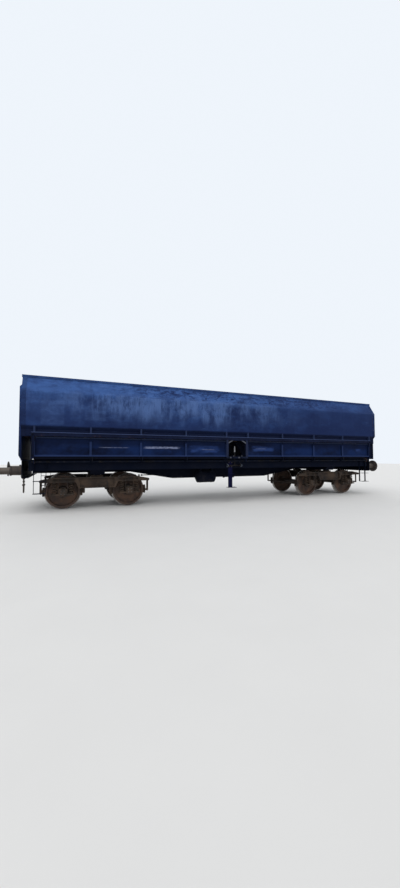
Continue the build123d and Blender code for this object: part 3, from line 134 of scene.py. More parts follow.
class Shader:
    # a material with one Principled shader; its colour is a tone of the palette with coats over it
    def __init__(self, name, palette=None, first=None):
        self.material = bpy.data.materials.new(name)
        self.material.use_nodes = True
        self.tree = self.material.node_tree
        self.palette = palette
        self.color = first and self.tone(first)
        self.place = self.node("ShaderNodeTexCoord", {}, {}, "Object")
        self.x, self.y, self.z = (self.part(self.place, axis) for axis in "XYZ")
        self.near = self.band(self.y, 0.2, -0.2)

    def tone(self, name):
        # from display values 0..255 to the linear values that shaders use
        levels = [level / 255 for level in self.palette[name]]
        return (*[v / 12.92 if v <= 0.04045 else ((v + 0.055) / 1.055) ** 2.4 for v in levels], 1.0)

    def feed(self, made, sockets):
        for key, value in sockets.items():
            if isinstance(value, Value):
                self.tree.links.new(value.socket, made.inputs[key])
            else:
                made.inputs[key].default_value = value

    def node(self, kind, settings, sockets, output=0):
        made = self.tree.nodes.new(kind)
        for name, setting in settings.items():
            setattr(made, name, setting)
        self.feed(made, sockets)
        return Value(self, made.outputs[output])

    def part(self, vector, axis):
        return self.node("ShaderNodeSeparateXYZ", {}, {0: vector}, axis)

    def facing(self, axis):
        # how far the surface looks along an axis, from -1 to 1
        return self.part(self.node("ShaderNodeNewGeometry", {}, {}, "Normal"), axis)

    def noise(self, scale, detail=4, rough=0.55, stretch=(1, 1, 1), shift=(0, 0, 0), twist=0.0):
        sockets = {0: self.place, 1: stretch, 2: shift}
        place = self.node("ShaderNodeVectorMath", {"operation": "MULTIPLY_ADD"}, sockets)
        return self.node("ShaderNodeTexNoise", {}, {
            "Vector": place, "Scale": scale, "Detail": detail, "Roughness": rough, "Distortion": twist,
        })

    def band(self, value, low, high):
        # 0 before low, 1 after high, smooth between them; it falls where low is the larger
        settings = {"interpolation_type": "SMOOTHSTEP"}
        return self.node("ShaderNodeMapRange", settings, {0: value, 1: low, 2: high})

    def window(self, value, low, high, soft):
        return self.band(value, low - soft, low + soft) * self.band(value, high + soft, high - soft)

    def dust(self, scale, rough=0.55):
        # lies in clouds on the faces that look up
        return self.band(self.facing("Z"), 0.4, 0.95) * self.band(self.noise(scale, 5, rough), 0.3, 0.6)

    def mix(self, factor, first, second):
        return self.node("ShaderNodeMix", {"data_type": "RGBA"}, {0: factor, 6: first, 7: second}, 2)

    def coat(self, name, cover):
        self.color = self.mix(cover, self.color, self.tone(name))

    def stain(self, name, share, pattern, low, high):
        # coats where a value, or the noise of these settings, lies in a band, and gives back that cover
        cover = self.band(pattern if isinstance(pattern, Value) else self.noise(*pattern), low, high)
        self.coat(name, cover * share)
        return cover

    def finish(self, roughness, metallic=0.0, bump=None, shine=0.5):
        # bump: height, distance and strength; shine: the specular level, low under dust and soot
        sockets = {"Base Color": self.color, "Roughness": roughness, "Metallic": metallic,
                   "Specular IOR Level": shine}
        if bump:
            height, far, strength = bump
            pressed = {"Height": height, "Distance": far, "Strength": strength}
            sockets["Normal"] = self.node("ShaderNodeBump", {}, pressed)
        self.feed(self.tree.nodes["Principled BSDF"], sockets)
        return self.material


def setStage():
    half = light["floorHalf"]
    corners = [(x * half, y * half, 0) for x, y in ((-1, -1), (1, -1), (1, 1), (-1, 1))]
    mesh = bpy.data.meshes.new("floor")
    mesh.from_pydata(corners, [], [(0, 1, 2, 3)])
    floor = bpy.data.objects.new("floor", mesh)
    scene.collection.objects.link(floor)
    ground = Shader("paleFloor")
    worn = [level * light["floorWorn"] for level in light["floor"]]
    ground.color = ground.mix(ground.noise(1.5, 5), (*light["floor"], 1), (*worn, 1))
    floor.data.materials.append(ground.finish(0.9))

    # the world lights the wagon, and camera, glossy and transmission rays see the plain background
    world = bpy.data.worlds.new("studio")
    scene.world = world
    world.use_nodes = True
    tree = world.node_tree
    link = tree.links.new
    back, seen = tree.nodes["Background"], tree.nodes.new("ShaderNodeBackground")
    back.inputs["Color"].default_value = (*light["worldColor"], 1)
    back.inputs["Strength"].default_value = light["world"]
    seen.inputs["Color"].default_value = (*light["background"], 1)
    path = tree.nodes.new("ShaderNodeLightPath")
    choose = tree.nodes.new("ShaderNodeMixShader")
    rays = path.outputs["Is Camera Ray"]
    for kind in ("Is Glossy Ray", "Is Transmission Ray"):
        either = tree.nodes.new("ShaderNodeMath")
        either.operation = "MAXIMUM"
        link(rays, either.inputs[0])
        link(path.outputs[kind], either.inputs[1])
        rays = either.outputs[0]
    for number, output in enumerate((rays, back.outputs[0], seen.outputs[0])):
        link(output, choose.inputs[number])
    link(choose.outputs[0], tree.nodes["World Output"].inputs["Surface"])

    for name, energy, spread, direction, color in light["lamps"]:
        data = bpy.data.lights.new(name, "SUN")
        data.energy = energy
        data.angle = math.radians(spread)
        data.color = color
        aimed(name, data, direction)


# Colours are display values, and places and soft edges are metres in the part's frame
insidePaint = {
    "bareDark": (64, 52, 46),
    "barePlate": (112, 98, 86),
    "bareRust": (98, 62, 42),
    "leftOver": (3.55, 3.85),  # heights between which old paint stays under the rim
}


def scouredInside(s, mottle):
    # the faces that look into the load space are scoured and rusty, with paint left under the rim
    away = abs(s.x)
    sides = s.band(s.facing("Y") * s.y, -0.05, -0.3)
    sides = sides * s.band(away, 5.9, 5.86).highest(s.band(s.z, 2.2, 2.3)) * s.band(away, 6.129, 6.12)
    plates = s.band(away, 6.0, 5.98) * s.band(abs(s.y), 1.385, 1.375)
    ends = s.band(s.facing("X") * s.x, -3.0, -5.0) * s.band(s.z, 2.46, 2.52).highest(plates)
    scoured = s.band(s.noise(5, 6, 0.7, (0.5, 0.5, 1.4), (9, 2, 5)), 0.36, 0.64)
    plate = s.mix(scoured, s.tone("bareDark"), s.tone("barePlate"))
    plate = s.mix(s.band(mottle, 0.45, 0.62) * 0.7, plate, s.tone("bareRust"))
    left = s.band(s.z + mottle * 0.5 + scoured * 0.25, *insidePaint["leftOver"]) * 0.8
    s.color = s.mix(sides.highest(ends) * (1 - left), s.color, plate)


wallPaint = {
    "blue": (38, 59, 106),
    "faded": (80, 107, 158),
    # a washed-out blue, used also for the painted sky reflection over the fold
    "washedAndSkyLit": (60, 93, 151),
    "deep": (22, 36, 74),
    "ink": (17, 28, 66),
    # a sooty dark, used also for the painted shade in the tuck
    "sootAndShade": (10, 16, 38),
    "rust": (66, 50, 52),
    "mottle": (2.6, 7, 0.7, (0.7, 1, 1.3), (1.9, 0, 4.2), 0.3),  # its noise
    "runs": (-4.7, 1.4),  # the stretch of the near side where pale runs hang below the fold
    "smudge": (-3.2, 4.0),  # the stretch where the upper edge is smudged dark
    "dim": (-1.5, 5.2),  # the near side darkens from the first to the second place
    # a thin line of painted shade along a crease under the fold
    "creaseShade": (-3.5, -2.1),  # the stretch of a thin crease, and its height
    "creaseShadeHeight": (3.166, 3.174),
    # spans in x and z of two painted-over panels, blank and barely lighter
    "panels": ((-5.69, -5.14, 2.30, 2.92), (-4.63, -4.09, 2.44, 2.70)),
    "printHalf": 0.03,  # half width of the lines that the posts print through the sheet
}


def upperWear(s, mottle, dim):
    # a soft pale veil under the fold with fine brushed strokes, pale and dark, that thin out downwards
    spot = s.window(s.x, *wallPaint["runs"], 1.1) * s.near
    reach = s.noise(3.4, 3, 0.5, (1, 1, 0.05), (7.7, 0, 0))
    hang = s.band(s.z + reach * 0.9, 2.82, 3.35) * s.band(s.z, 3.26, 3.1)
    s.stain("faded", hang * (spot * 0.72 + 0.12), (1.8, 6, 0.7, (1, 1, 0.75), (0, 0, 5.5), 0.3), 0.36, 0.62)
    s.stain("faded", hang * (spot * 0.4 + 0.08), (15, 5, 0.7, (1, 1, 0.17), (0, 0, 2.5), 0.3), 0.5, 0.68)
    s.stain("deep", hang * (spot * 0.55 + 0.1), (11, 5, 0.72, (1, 1, 0.22), (2.5, 0, 1.5), 0.4), 0.52, 0.66)
    # faint broad wash that reaches down the middle of the upright face
    wash = s.window(s.z, 2.5, 3.1, 0.3) * (spot * 0.4 + 0.08)
    s.stain("faded", wash, (1.5, 5, 0.62, (1, 1, 0.7), (5, 0, 3)), 0.44, 0.68)
    # scribbled smudges along the upper edge, with bleached gaps between them
    scribble = s.noise(6.5, 8, 0.8, (0.6, 1, 1.5), (4.4, 0, 8), 0.5)
    streak = s.noise(13, 5, 0.7, (1, 1, 0.35), (6, 0, 2), 0.6)
    smear = s.window(s.x, *wallPaint["smudge"], 1.3) * s.near
    edge = s.window(s.z, 3.19, 3.5, 0.09)
    s.stain("faded", edge * (smear + spot).lowest(1.0) * 0.45, scribble, 0.47, 0.36)
    smudge = s.band(scribble, 0.485, 0.57).highest(s.band(streak, 0.56, 0.66)) * edge
    s.coat("ink", smudge * (smear * 0.72 + 0.12))
    s.coat("deep", dim * (0.25 + s.band(s.z, 3.3, 3.05) * 0.5))
    # a long thin line of painted shade along a crease under the fold, which sags in its middle
    first, last = wallPaint["creaseShade"]
    sag = s.z + s.window(s.x, first + 0.3, last - 0.1, 0.5) * 0.02
    creaseShade = s.window(sag, *wallPaint["creaseShadeHeight"], 0.006) * s.window(s.x, first, last, 0.25)
    s.coat("ink", creaseShade * s.near * 0.7)
    for x0, x1, z0, z1 in wallPaint["panels"]:
        panel = s.window(s.x, x0, x1, 0.03) * s.window(s.z, z0, z1, 0.03) * s.near
        s.coat("faded", panel * (0.08 + s.band(mottle, 0.4, 0.6) * 0.14))


def paintedBody(name, deeper=0.0, runs=True):
    s = Shader(name, {**wallPaint, **insidePaint}, "deep")
    cloud = s.noise(0.5, 6, 0.6, (1, 1, 1.5), (3.1, 0, 1.7))
    mottle = s.noise(*wallPaint["mottle"])
    dim = s.band(s.x, *wallPaint["dim"]) * s.near
    s.stain("blue", 1, cloud, 0.34, 0.66)
    s.stain("washedAndSkyLit", 0.4, mottle, 0.46, 0.7)
    s.stain("deep", 0.4, mottle, 0.5, 0.3)
    speck = s.noise(11, 6, 0.78, (0.8, 1, 1.1), (7, 3, 1), 0.4)
    s.stain("washedAndSkyLit", 0.3, speck, 0.54, 0.7)
    s.stain("deep", 0.35, speck, 0.46, 0.32)
    # the upright face darkens towards its foot, and the strip over the fold is paler, partly bleached paint
    # and partly a painted sky reflection
    s.stain("deep", 0.5, s.z + mottle * 0.5, 3.15, 2.6)
    bleachAndSkyReflection = (0.35 + s.band(mottle, 0.36, 0.62) * 0.5) * (1 - dim * 0.6)
    s.stain("washedAndSkyLit", bleachAndSkyReflection, s.z, 2.95, 3.2)
    if runs:
        upperWear(s, mottle, dim)
    # the posts behind the sheet print through as dim upright lines
    half = wallPaint["printHalf"]
    for line in wagon["postLines"]:
        s.coat("deep", s.window(s.x, line - half, line + half, half) * 0.2)
    # painted shade in the tuck of the side walls, and the ends darken softly towards the bottom
    beside = s.band(abs(s.y), 1.400, 1.415)
    s.stain("sootAndShade", beside * 0.8, s.z + s.noise(3, 5) * 0.05, 2.31, 2.24)
    s.stain("sootAndShade", (1 - beside) * 0.7, s.z + mottle * 0.8, 2.6, 1.6)
    # rust spots, thicker towards the lower bend, and fine scratches
    low = s.band(s.z + s.noise(6, 5) * 0.12, 2.42, 2.28)
    spots = s.stain("rust", low * 0.15 + 0.25, (17, 6, 0.7), 0.66, 0.74)
    s.stain("faded", 0.2, (30, 3, 0.5, (0.12, 1, 1), (0, 3, 0), 0.6), 0.67, 0.74)
    grain = s.noise(60, 4, 0.6)
    s.stain("sootAndShade", 0.22, grain, 0.5, 0.75)
    if deeper:
        s.coat("sootAndShade", deeper)
    scouredInside(s, mottle)
    relief = s.noise(2.2, 3, 0.5) * 0.7 + grain * 0.03 + spots * 0.04
    return s.finish(0.56 + cloud * 0.18 + spots * 0.2, 0.0, (relief, 0.012, 0.5), 0.07)


flapPaint = {
    "blue": (18, 36, 76),
    "faded": (32, 48, 88),
    # a sooty dark, used also for the painted shadow under the hinge bar
    "sootAndShade": (6, 13, 35),
    "pale": (126, 134, 164),
    "bluish": (46, 68, 122),
    "rust": (40, 36, 48),
    "tube": (30, 38, 58),
    "rib": (40, 54, 90),
    # the painted highlight along the flaps' foot
    "foot": (46, 62, 104),
    # blank rubbed patches on the near side: spans in x and z, strength and tone
    "patches": (
        (-4.21, -3.46, 1.706, 1.722, 0.6, "pale"),
        (-2.97, -1.96, 1.695, 1.755, 0.85, "pale"),
        (-1.58, -0.68, 1.60, 1.80, 0.62, "bluish"),
        (-1.24, -0.80, 1.672, 1.690, 0.42, "pale"),
        (0.60, 1.40, 1.64, 1.82, 0.6, "bluish"),
        (0.72, 1.12, 1.715, 1.733, 0.34, "pale"),
        (5.20, 5.42, 1.66, 1.75, 0.6, "bluish"),
    ),
}


def paintedFlaps():
    s = Shader("flapPaint", {**flapPaint, **insidePaint}, "sootAndShade")
    cloud = s.noise(0.8, 6, 0.62, (1, 1, 1.5), (1.3, 0, 2.2))
    s.stain("blue", 1, cloud, 0.36, 0.64)
    s.stain("faded", 0.45, (2.4, 6, 0.66, (1, 1, 2), (6, 2, 0)), 0.5, 0.74)
    # pale patches are thin brushed lines, bluish ones have torn edges
    worn = s.band(s.noise(2.6, 4, 0.6, (1, 1, 3.5), (2, 0, 7)), 0.36, 0.6)
    brushed = s.band(s.noise(11, 5, 0.7, (1, 1, 2.5), (4, 0, 9)), 0.34, 0.56)
    tornX = s.x + (s.noise(4, 5, 0.7, (1, 1, 3)) - 0.5) * 0.3
    tornZ = s.z + (s.noise(3, 4, 0.6, (1, 1, 1), (4, 0, 0)) - 0.5) * 0.06
    for x0, x1, z0, z1, strength, name in flapPaint["patches"]:
        if name == "pale":
            rub = s.window(s.z, z0, z1, 0.013) * (0.2 + brushed * 0.8)
        else:
            rub = s.window(tornZ, z0, z1, 0.03) * (0.15 + worn * 0.85)
        s.coat(name, s.window(tornX, x0, x1, 0.07) * s.near * rub * strength)
    # painted shadow under the hinge bar, and the outer faces of the ribs are a little paler than the sheet
    s.stain("sootAndShade", 0.6, s.z + cloud * 0.08, 1.74, 1.88)
    rib = s.band(abs(s.y), 1.455, 1.47) * s.band(s.z, 1.49, 1.5) * s.band(s.z, 1.87, 1.84)
    s.coat("rib", rib * 0.55)
    # painted highlight along the foot, where the lower edge catches the light
    s.stain("foot", 0.75, s.z + s.noise(5, 4) * 0.012, 1.520, 1.508)
    s.stain("sootAndShade", s.band(s.z, 1.65, 1.95) * 0.5, (13, 5, 0.7, (1, 1, 0.12), (0, 0, 3)), 0.55, 0.7)
    spots = s.stain("rust", 0.35, (19, 6, 0.7), 0.64, 0.72)
    scouredInside(s, s.noise(*wallPaint["mottle"]))
    s.stain("tube", 0.85, s.z, 1.925, 1.94)
    relief = s.noise(2.5, 3, 0.5) * 0.6 + s.noise(70, 4, 0.6) * 0.03 + spots * 0.05
    return s.finish(0.58 + cloud * 0.15 + spots * 0.2, 0.0, (relief, 0.010, 0.5), 0.05)


barPaint = {
    "dark": (8, 14, 36),
    "blue": (19, 28, 54),
    "edge": (68, 82, 120),
    "bracket": (44, 56, 88),
    "lug": (24, 28, 40),
    "rust": (66, 50, 52),
}


def hingeBarFinish():
    # a dark bar with a lit upper edge, paler brackets over it, and greasy lugs under it
    s = Shader("hingeBarPaint", barPaint, "dark")
    top = wagon["barTop"]
    cloud = s.noise(1.7, 5, 0.6)
    s.stain("blue", 1, cloud, 0.3, 0.7)
    bracket = s.mix(s.noise(9, 5, 0.6) * 0.6, s.tone("bracket"), s.tone("blue"))
    s.color = s.mix(s.band(s.z, top + 0.002, top + 0.008) * 0.85, s.color, bracket)
    edge = s.window(s.z + s.noise(9, 5, 0.6) * 0.006, top - 0.014, top + 0.006, 0.003)
    s.coat("edge", edge * 0.75)
    s.stain("rust", s.band(s.z, 2.07, 2.0) * 0.3, (7, 6, 0.7, (1, 1, 0.5)), 0.54, 0.68)
    s.stain("lug", 0.7, s.z, 1.985, 1.975)
    return s.finish(0.6 + cloud * 0.15, 0.0, (s.noise(80, 4) + cloud, 0.0025, 0.7), 0.07)


underPaint = {
    "black": (7, 13, 28),
    "navy": (17, 19, 54),
    "brown": (21, 23, 33),
    "dust": (40, 45, 58),
    "splash": (46, 44, 48),
    "rust": (52, 42, 42),
    "splashDeep": 0.5,  # height over which the splashed dirt thickens
}


def underframeFinish(name, brown=0.35, dusty=0.25, foot=1.1, paint="black"):
    # brown: how much of it is stained; dusty: how thick the dust lies; foot: where splashed dirt begins
    s = Shader(name, underPaint, paint)
    cloud = s.noise(1.6, 6, 0.65)
    s.stain("brown", brown * 1.6, cloud, 0.35, 0.7)
    s.coat("dust", s.dust(5, 0.6) * dusty * 2.0)
    splash = s.band(s.z, foot, foot - underPaint["splashDeep"])
    s.stain("splash", splash * 0.5, (8, 6, 0.7), 0.42, 0.66)
    spots = s.stain("rust", 0.3, (24, 5, 0.7), 0.62, 0.72)
    relief = s.noise(90, 4) + spots * 0.6 + cloud
    return s.finish(0.7 + cloud * 0.15, 0.0, (relief, 0.0025, 0.7), 0.05)


platePaint = {
    "dark": (92, 78, 70),
    "bright": (132, 122, 114),
    "rust": (104, 62, 40),
    "dust": (138, 128, 114),
    "shade": (2, 9, 27),
}


def wornFloorFinish():
    s = Shader("scouredPlate", platePaint, "dark")
    flow = s.noise(9, 6, 0.62, (1, 0.12, 0.12))
    rust = s.noise(2.1, 7, 0.68, (1, 0.6, 0.6), (2, 5, 1))
    s.stain("bright", 1, flow, 0.4, 0.66)
    s.stain("rust", 0.8, rust, 0.46, 0.66)
    s.stain("dust", 0.5, (1.3, 6, 0.6, (1, 1, 1), (8, 1, 2)), 0.5, 0.75)
    # painted shade on the faces that look down, and on the lip along its outer edge
    lip = s.band(abs(s.y), 1.402, 1.41) * s.band(s.z, 1.495, 1.482)
    below = s.band(s.facing("Z"), 0.05, -0.1).highest(lip)
    s.coat("shade", below * 0.98)
    cells = s.node("ShaderNodeTexVoronoi", {}, {"Vector": s.place, "Scale": 7}, "Distance")
    shine = s.band(flow, 0.5, 0.7) * s.band(rust, 0.56, 0.44) * (1 - below)
    return s.finish(0.72 - shine * 0.22, shine * 0.45, (cells * 0.3 + s.noise(40, 5), 0.004, 0.6), 0.06)


castPaint = {
    "dark": (38, 33, 31),
    "brown": (70, 57, 47),
    "dust": (104, 92, 76),
    "oil": (20, 18, 17),
    "rust": (112, 68, 42),
}


def bogieFinish():
    s = Shader("brakeDust", castPaint, "dark")
    cloud = s.noise(3.2, 6, 0.66)
    s.stain("brown", 1, cloud, 0.35, 0.68)
    s.coat("dust", s.dust(7) * 0.55)
    oil = s.stain("oil", 0.7, (4.5, 5, 0.6, (1, 1, 0.35), (3, 9, 2)), 0.54, 0.66)
    spots = s.stain("rust", 0.5, (30, 5, 0.7), 0.6, 0.72)
    relief = s.noise(130, 5, 0.6) + spots * 0.5 + cloud
    return s.finish(0.78 - oil * 0.34, 0.0, (relief, 0.003, 0.8), 0.2)


wheelPaint = {
    "dark": (54, 41, 35),
    "rust": (90, 66, 51),
    "grease": (24, 21, 20),
    "brakeDust": (58, 46, 40),
    "bright": (176, 172, 168),
}


def wheelFinish(name, axle):
    s = Shader(name, wheelPaint, "dark")
    radius = distance(s.x - axle, s.z - wagon["axleHeight"])
    beside = abs(s.y)
    cloud = s.noise(5, 6, 0.66)
    s.stain("rust", 1, cloud, 0.36, 0.66)
    # rings of grease thrown out from the hub, and brake dust on the rim
    ring = s.stain("grease", 0.7, s.noise(8, 4, 0.6) * 0.05 + radius, 0.235, 0.16)
    s.stain("brakeDust", 0.5, radius, 0.385, 0.405)
    # the running surface and the inner side of the flange are rubbed bright
    tread = s.window(beside, 0.7, 0.806, 0.006) * s.band(radius, 0.445, 0.4525)
    flange = s.band(beside, 0.722, 0.715) * s.band(radius, 0.463, 0.467)
    bright = (tread + flange).lowest(1.0) * (0.75 + s.noise(40, 3, 0.5, (1, 0.1, 1)) * 0.5).lowest(1.0)
    s.coat("bright", bright)
    relief = (s.noise(120, 5) + cloud) * (1 - bright)
    return s.finish(0.78 - bright * 0.48 - ring * 0.2, bright * 0.9, (relief, 0.003, 0.7))


steelPaint = {"grease": (20, 19, 18), "rust": (110, 66, 42), "worn": (150, 144, 138)}


def steelFinish(name, dark, pale, rub, shine, rust):
    # dark and pale: its two tones; rub, shine and rust: how worn, glossy and spotted it is, from 0 to 1
    s = Shader(name, {**steelPaint, "dark": dark, "pale": pale}, "dark")
    cloud = s.noise(6, 6, 0.66)
    s.stain("pale", 1, cloud, 0.35, 0.66)
    grease = s.stain("grease", 0.7, (3.4, 5, 0.6, (1, 1, 1), (5, 5, 1)), 0.52, 0.64)
    spots = s.stain("rust", rust, (34, 5, 0.7), 0.58, 0.7)
    worn = s.band(s.noise(12, 5, 0.6, (1, 1, 1), (1, 8, 6)), 0.56, 0.66) * (1 - spots) * rub
    s.coat("worn", worn)
    relief = s.noise(100, 5) + spots + cloud
    return s.finish(0.62 - grease * 0.25 + spots * 0.2, worn * 0.8, (relief, 0.002, 0.8), shine)


leverPaint = {
    "dark": (14, 16, 22),
    "pale": (36, 33, 35),
    "grip": (158, 158, 162),
    "bracket": (98, 106, 120),
    "rust": (92, 62, 46),
}


def leverFinish():
    # the grip at the top is rubbed pale by hands, and so are the brackets beside the lever
    s = Shader("leverSteel", leverPaint, "dark")
    cloud = s.noise(9, 5, 0.6)
    s.stain("pale", 1, cloud, 0.35, 0.65)
    grip = s.stain("grip", 0.85, s.z + cloud * 0.03, 1.615, 1.65)
    bracket = s.window(abs(s.x), 0.243, 0.263, 0.002) * s.window(s.z, 1.1, 1.24, 0.01)
    s.coat("bracket", bracket * (0.35 + cloud * 0.7))
    spots = s.stain("rust", 0.5, (34, 5, 0.7), 0.6, 0.72)
    return s.finish(0.6 - grip * 0.15, grip * 0.3, (s.noise(100, 5) + spots, 0.002, 0.7), 0.1)


openingTones = {
    "dark": (12, 17, 32),
    "blue": (30, 38, 62),
    "post": (48, 56, 84),
    "rubbed": (112, 114, 122),
    "rust": (66, 50, 52),
}


def openingFinish():
    # the dark frame of the centre opening: its slanting corner bars, and the catches and marks on its sill,
    # are rubbed pale
    s = Shader("openingPaint", openingTones, "dark")
    away, beside = abs(s.x), abs(s.y)
    cloud = s.noise(1.6, 6, 0.65)
    s.stain("blue", 1, cloud, 0.35, 0.7)
    out = s.band(beside, 1.40, 1.42)
    s.coat("post", s.band(away, 0.318, 0.322) * s.band(s.z, 1.4, 1.5) * out * 0.45)
    bars = s.window(away, 0.11, 0.316, 0.006) * s.window(s.z, 1.835, 1.975, 0.01)
    catches = s.window(away, 0.12, 0.18, 0.006) * s.band(s.z, 1.470, 1.474) * s.band(s.z, 1.56, 1.55)
    turnedX = s.x * (s.near * 2 - 1)
    marks = s.window(turnedX, -0.262, -0.222, 0.012) + s.window(turnedX, 0.035, 0.085, 0.02)
    marks = marks * s.window(s.z, 1.412, 1.458, 0.006) * s.band(beside, 1.46, 1.47)
    rubbed = (bars * 0.75 + catches * 0.6 + marks * 0.7).lowest(1.0) * out
    s.coat("rubbed", rubbed * (0.55 + s.noise(12, 4) * 0.6).lowest(1.0) * 0.8)
    spots = s.stain("rust", 0.4, (19, 6, 0.7), 0.64, 0.72)
    relief = s.noise(70, 4, 0.6) * 0.1 + spots + cloud
    return s.finish(0.65 + cloud * 0.15, 0.0, (relief, 0.003, 0.6), 0.05)


bufferPaint = {
    "dark": (30, 27, 26),
    "brown": (60, 49, 41),
    "rust": (104, 62, 40),
    "grease": (22, 20, 19),
    "rubbed": (128, 120, 112),
    "plunger": (96, 88, 80),
}


def bufferFinish():
    s = Shader("bufferSteel", bufferPaint, "dark")
    out = abs(s.x)
    cloud = s.noise(7, 6, 0.66)
    s.stain("brown", 1, cloud, 0.35, 0.66)
    spots = s.stain("rust", 0.6, (30, 5, 0.7), 0.58, 0.7)
    # greased face, rubbed bright in a rough disc at its middle
    middleY, middleZ = wagon["buffer"]
    radius = distance(abs(s.y) - middleY, s.z - middleZ)
    face = s.band(out, 6.728, 6.735)
    rub = face * s.band(radius + s.noise(16, 5) * 0.06, 0.19, 0.13)
    ring = face * s.band(radius + s.noise(9, 5) * 0.06, 0.25, 0.2)
    s.coat("grease", ring * 0.8)
    s.coat("rubbed", rub * 0.7)
    plunger = s.window(out, 6.432, 6.66, 0.004) * s.band(radius, 0.1, 0.095)
    s.coat("plunger", plunger * 0.6)
    rough = 0.7 - rub * 0.35 - ring * 0.2 - plunger * 0.25
    return s.finish(rough, rub * 0.7 + plunger * 0.5, (s.noise(110, 5) + spots + cloud, 0.002, 0.7))


# A shape is its points and a list of face tables, each with the same number of corners in every row
def gridFaces(rows, columns):
    # quads between neighbouring points of a tube whose rings are stored one after another
    row, here = np.arange(rows - 1)[:, None] * columns, np.arange(columns)
    beside = (here + 1) % columns
    corners = (row + here, row + beside, row + columns + beside, row + columns + here)
    return np.stack(corners, axis=-1).reshape(-1, 4)


def tube(*parts):
    # from the x, y and z of its rings, each a row of points: its sides and one flat face over each end
    grid = np.stack(np.broadcast_arrays(*parts), axis=-1)
    rows, columns = grid.shape[:2]
    low = np.arange(columns)[None, ::-1]
    high = np.arange(columns)[None, :] + (rows - 1) * columns
    return grid.reshape(-1, 3), [gridFaces(rows, columns), low, high]


def unit(vectors):
    return vectors / np.linalg.norm(vectors, axis=-1, keepdims=True)


def roundOf(sides):
    # angles that divide a full turn
    return np.linspace(0, 2 * math.pi, sides, endpoint=False)


def joined(shapes):
    points = np.concatenate([shape[0] for shape in shapes])
    starts = np.cumsum([0] + [len(shape[0]) for shape in shapes[:-1]])
    return points, [table + start for shape, start in zip(shapes, starts) for table in shape[1]]


def copies(shape, moves):
    # the same shape set down once for each move
    points, tables = shape
    moves = np.asarray(moves, float)
    steps = np.arange(len(moves))[:, None, None] * len(points)
    spread = (points[None, :, :] + moves[:, None, :]).reshape(-1, 3)
    return spread, [(table[None, :, :] + steps).reshape(-1, table.shape[1]) for table in tables]


def turnedTo(shape, axis, place=(0, 0, 0)):
    # the shape's upright axis is turned to the given one, and its origin goes to the place
    turn = np.array(Vector(axis).normalized().to_track_quat("Z", "Y").to_matrix())
    return shape[0] @ turn.T + np.asarray(place, float), shape[1]


def turned(profile, sides=20):
    # radius r and height h of each ring: the point at angle a is (r cos a, r sin a, h)
    radius, height = np.asarray(profile, float).T[:, :, None]
    angle = roundOf(sides)
    return tube(radius * np.cos(angle), radius * np.sin(angle), height)


def mirrored(half):
    # a profile given from its middle upwards, with the same below it
    return [(radius, -height) for radius, height in reversed(half) if height] + half


def rod(path, radius, side, sides):
    # a round section of the given radius at each point of a path; side is square to the path's plane,
    # and the point at angle a is path + radius (side cos a + (along x side) sin a)
    path = np.asarray(path, float)
    side = np.broadcast_to(np.asarray(side, float), path.shape)
    other = np.cross(unit(np.gradient(path, axis=0)), side)
    angle = roundOf(sides)[None, :, None]
    ring = side[:, None, :] * np.cos(angle) + other[:, None, :] * np.sin(angle)
    radius = np.broadcast_to(np.asarray(radius, float), (len(path),))
    grid = path[:, None, :] + ring * radius[:, None, None]
    return tube(*np.moveaxis(grid, -1, 0))


def makePiece(name, shape, material, body, smooth=True, stands=None):
    points, tables = shape
    mesh = bpy.data.meshes.new(name)
    mesh.from_pydata(points.tolist(), [], [row for table in tables for row in table.tolist()])
    mesh.polygons.foreach_set("use_smooth", np.full(len(mesh.polygons), smooth))
    mesh.materials.append(material)
    mesh.update()
    piece = bpy.data.objects.new(name, mesh)
    scene.collection.objects.link(piece)
    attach(piece, body)
    if stands:
        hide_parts(stands)
    print(name, len(mesh.polygons), "faces")


wallSkinShape = {
    "alongStep": 0.06,  # distance between points along the wagon
    "upStep": 0.055,  # and up the wall
    "bends": (0.014, 5, 0.01),  # radius and points of a pressed bend, and distance of the extra points
    "waviness": 0.0035,  # how far the sheet bulges between two posts
    "slopeWaviness": 0.7,  # share of that over the fold
    "lastPost": 6.0,  # where the outermost bays end
    "upright": (2.27, 3.11, 0.2, 0.2),  # heights that the bulges reach below the fold, and their soft ends
    "slope": (3.15, 3.5, 0.12, 0.1),  # and over the fold
    "dents": 26,  # number of dents a side
    "dentDepth": 0.009,
    # spans that a dent's x, z, width, height and share of the depth are drawn from
    "dentSpans": ((-5.7, 5.7), (2.4, 3.45), (0.10, 0.34), (0.06, 0.2), (0.25, 1)),
    "inwardShare": 0.8,  # of the dents; the others bulge out, half as deep
    "stiffReach": 0.15,  # how far from a post the sheet is stiffer
    "seeds": {"left": 23, "right": 11},
}


def roundedLine(corners, radius, steps, lead):
    # straight runs joined by arcs: each corner is replaced by points of the circle that touches both runs,
    # with one more point a little before and after it, so that the flat faces shade flat
    corners = np.asarray(corners, float)
    points = [corners[0]]
    for before, corner, after in zip(corners[:-2], corners[1:-1], corners[2:]):
        back, on = unit(before - corner), unit(after - corner)
        half = math.acos(np.clip(back @ on, -1, 1)) / 2
        reach = radius / math.tan(half)
        centre = corner + unit(back + on) * radius / math.sin(half)
        start, stop = corner + back * reach, corner + on * reach
        first, last = start - centre, stop - centre
        turn = math.acos(np.clip(first @ last / radius**2, -1, 1))
        share = np.linspace(0, 1, steps)[:, None]
        arc = (np.sin((1 - share) * turn) * first + np.sin(share * turn) * last) / math.sin(turn)
        points += [start + back * lead, *(centre + arc), stop + on * lead]
    points.append(corners[-1])
    return np.array(points)


def fade(height, low, high, softLow, softHigh):
    # 0 outside low..high, rising in straight lines to 1 over the soft lengths
    return np.clip((height - low) / softLow, 0, 1) * np.clip((high - height) / softHigh, 0, 1)


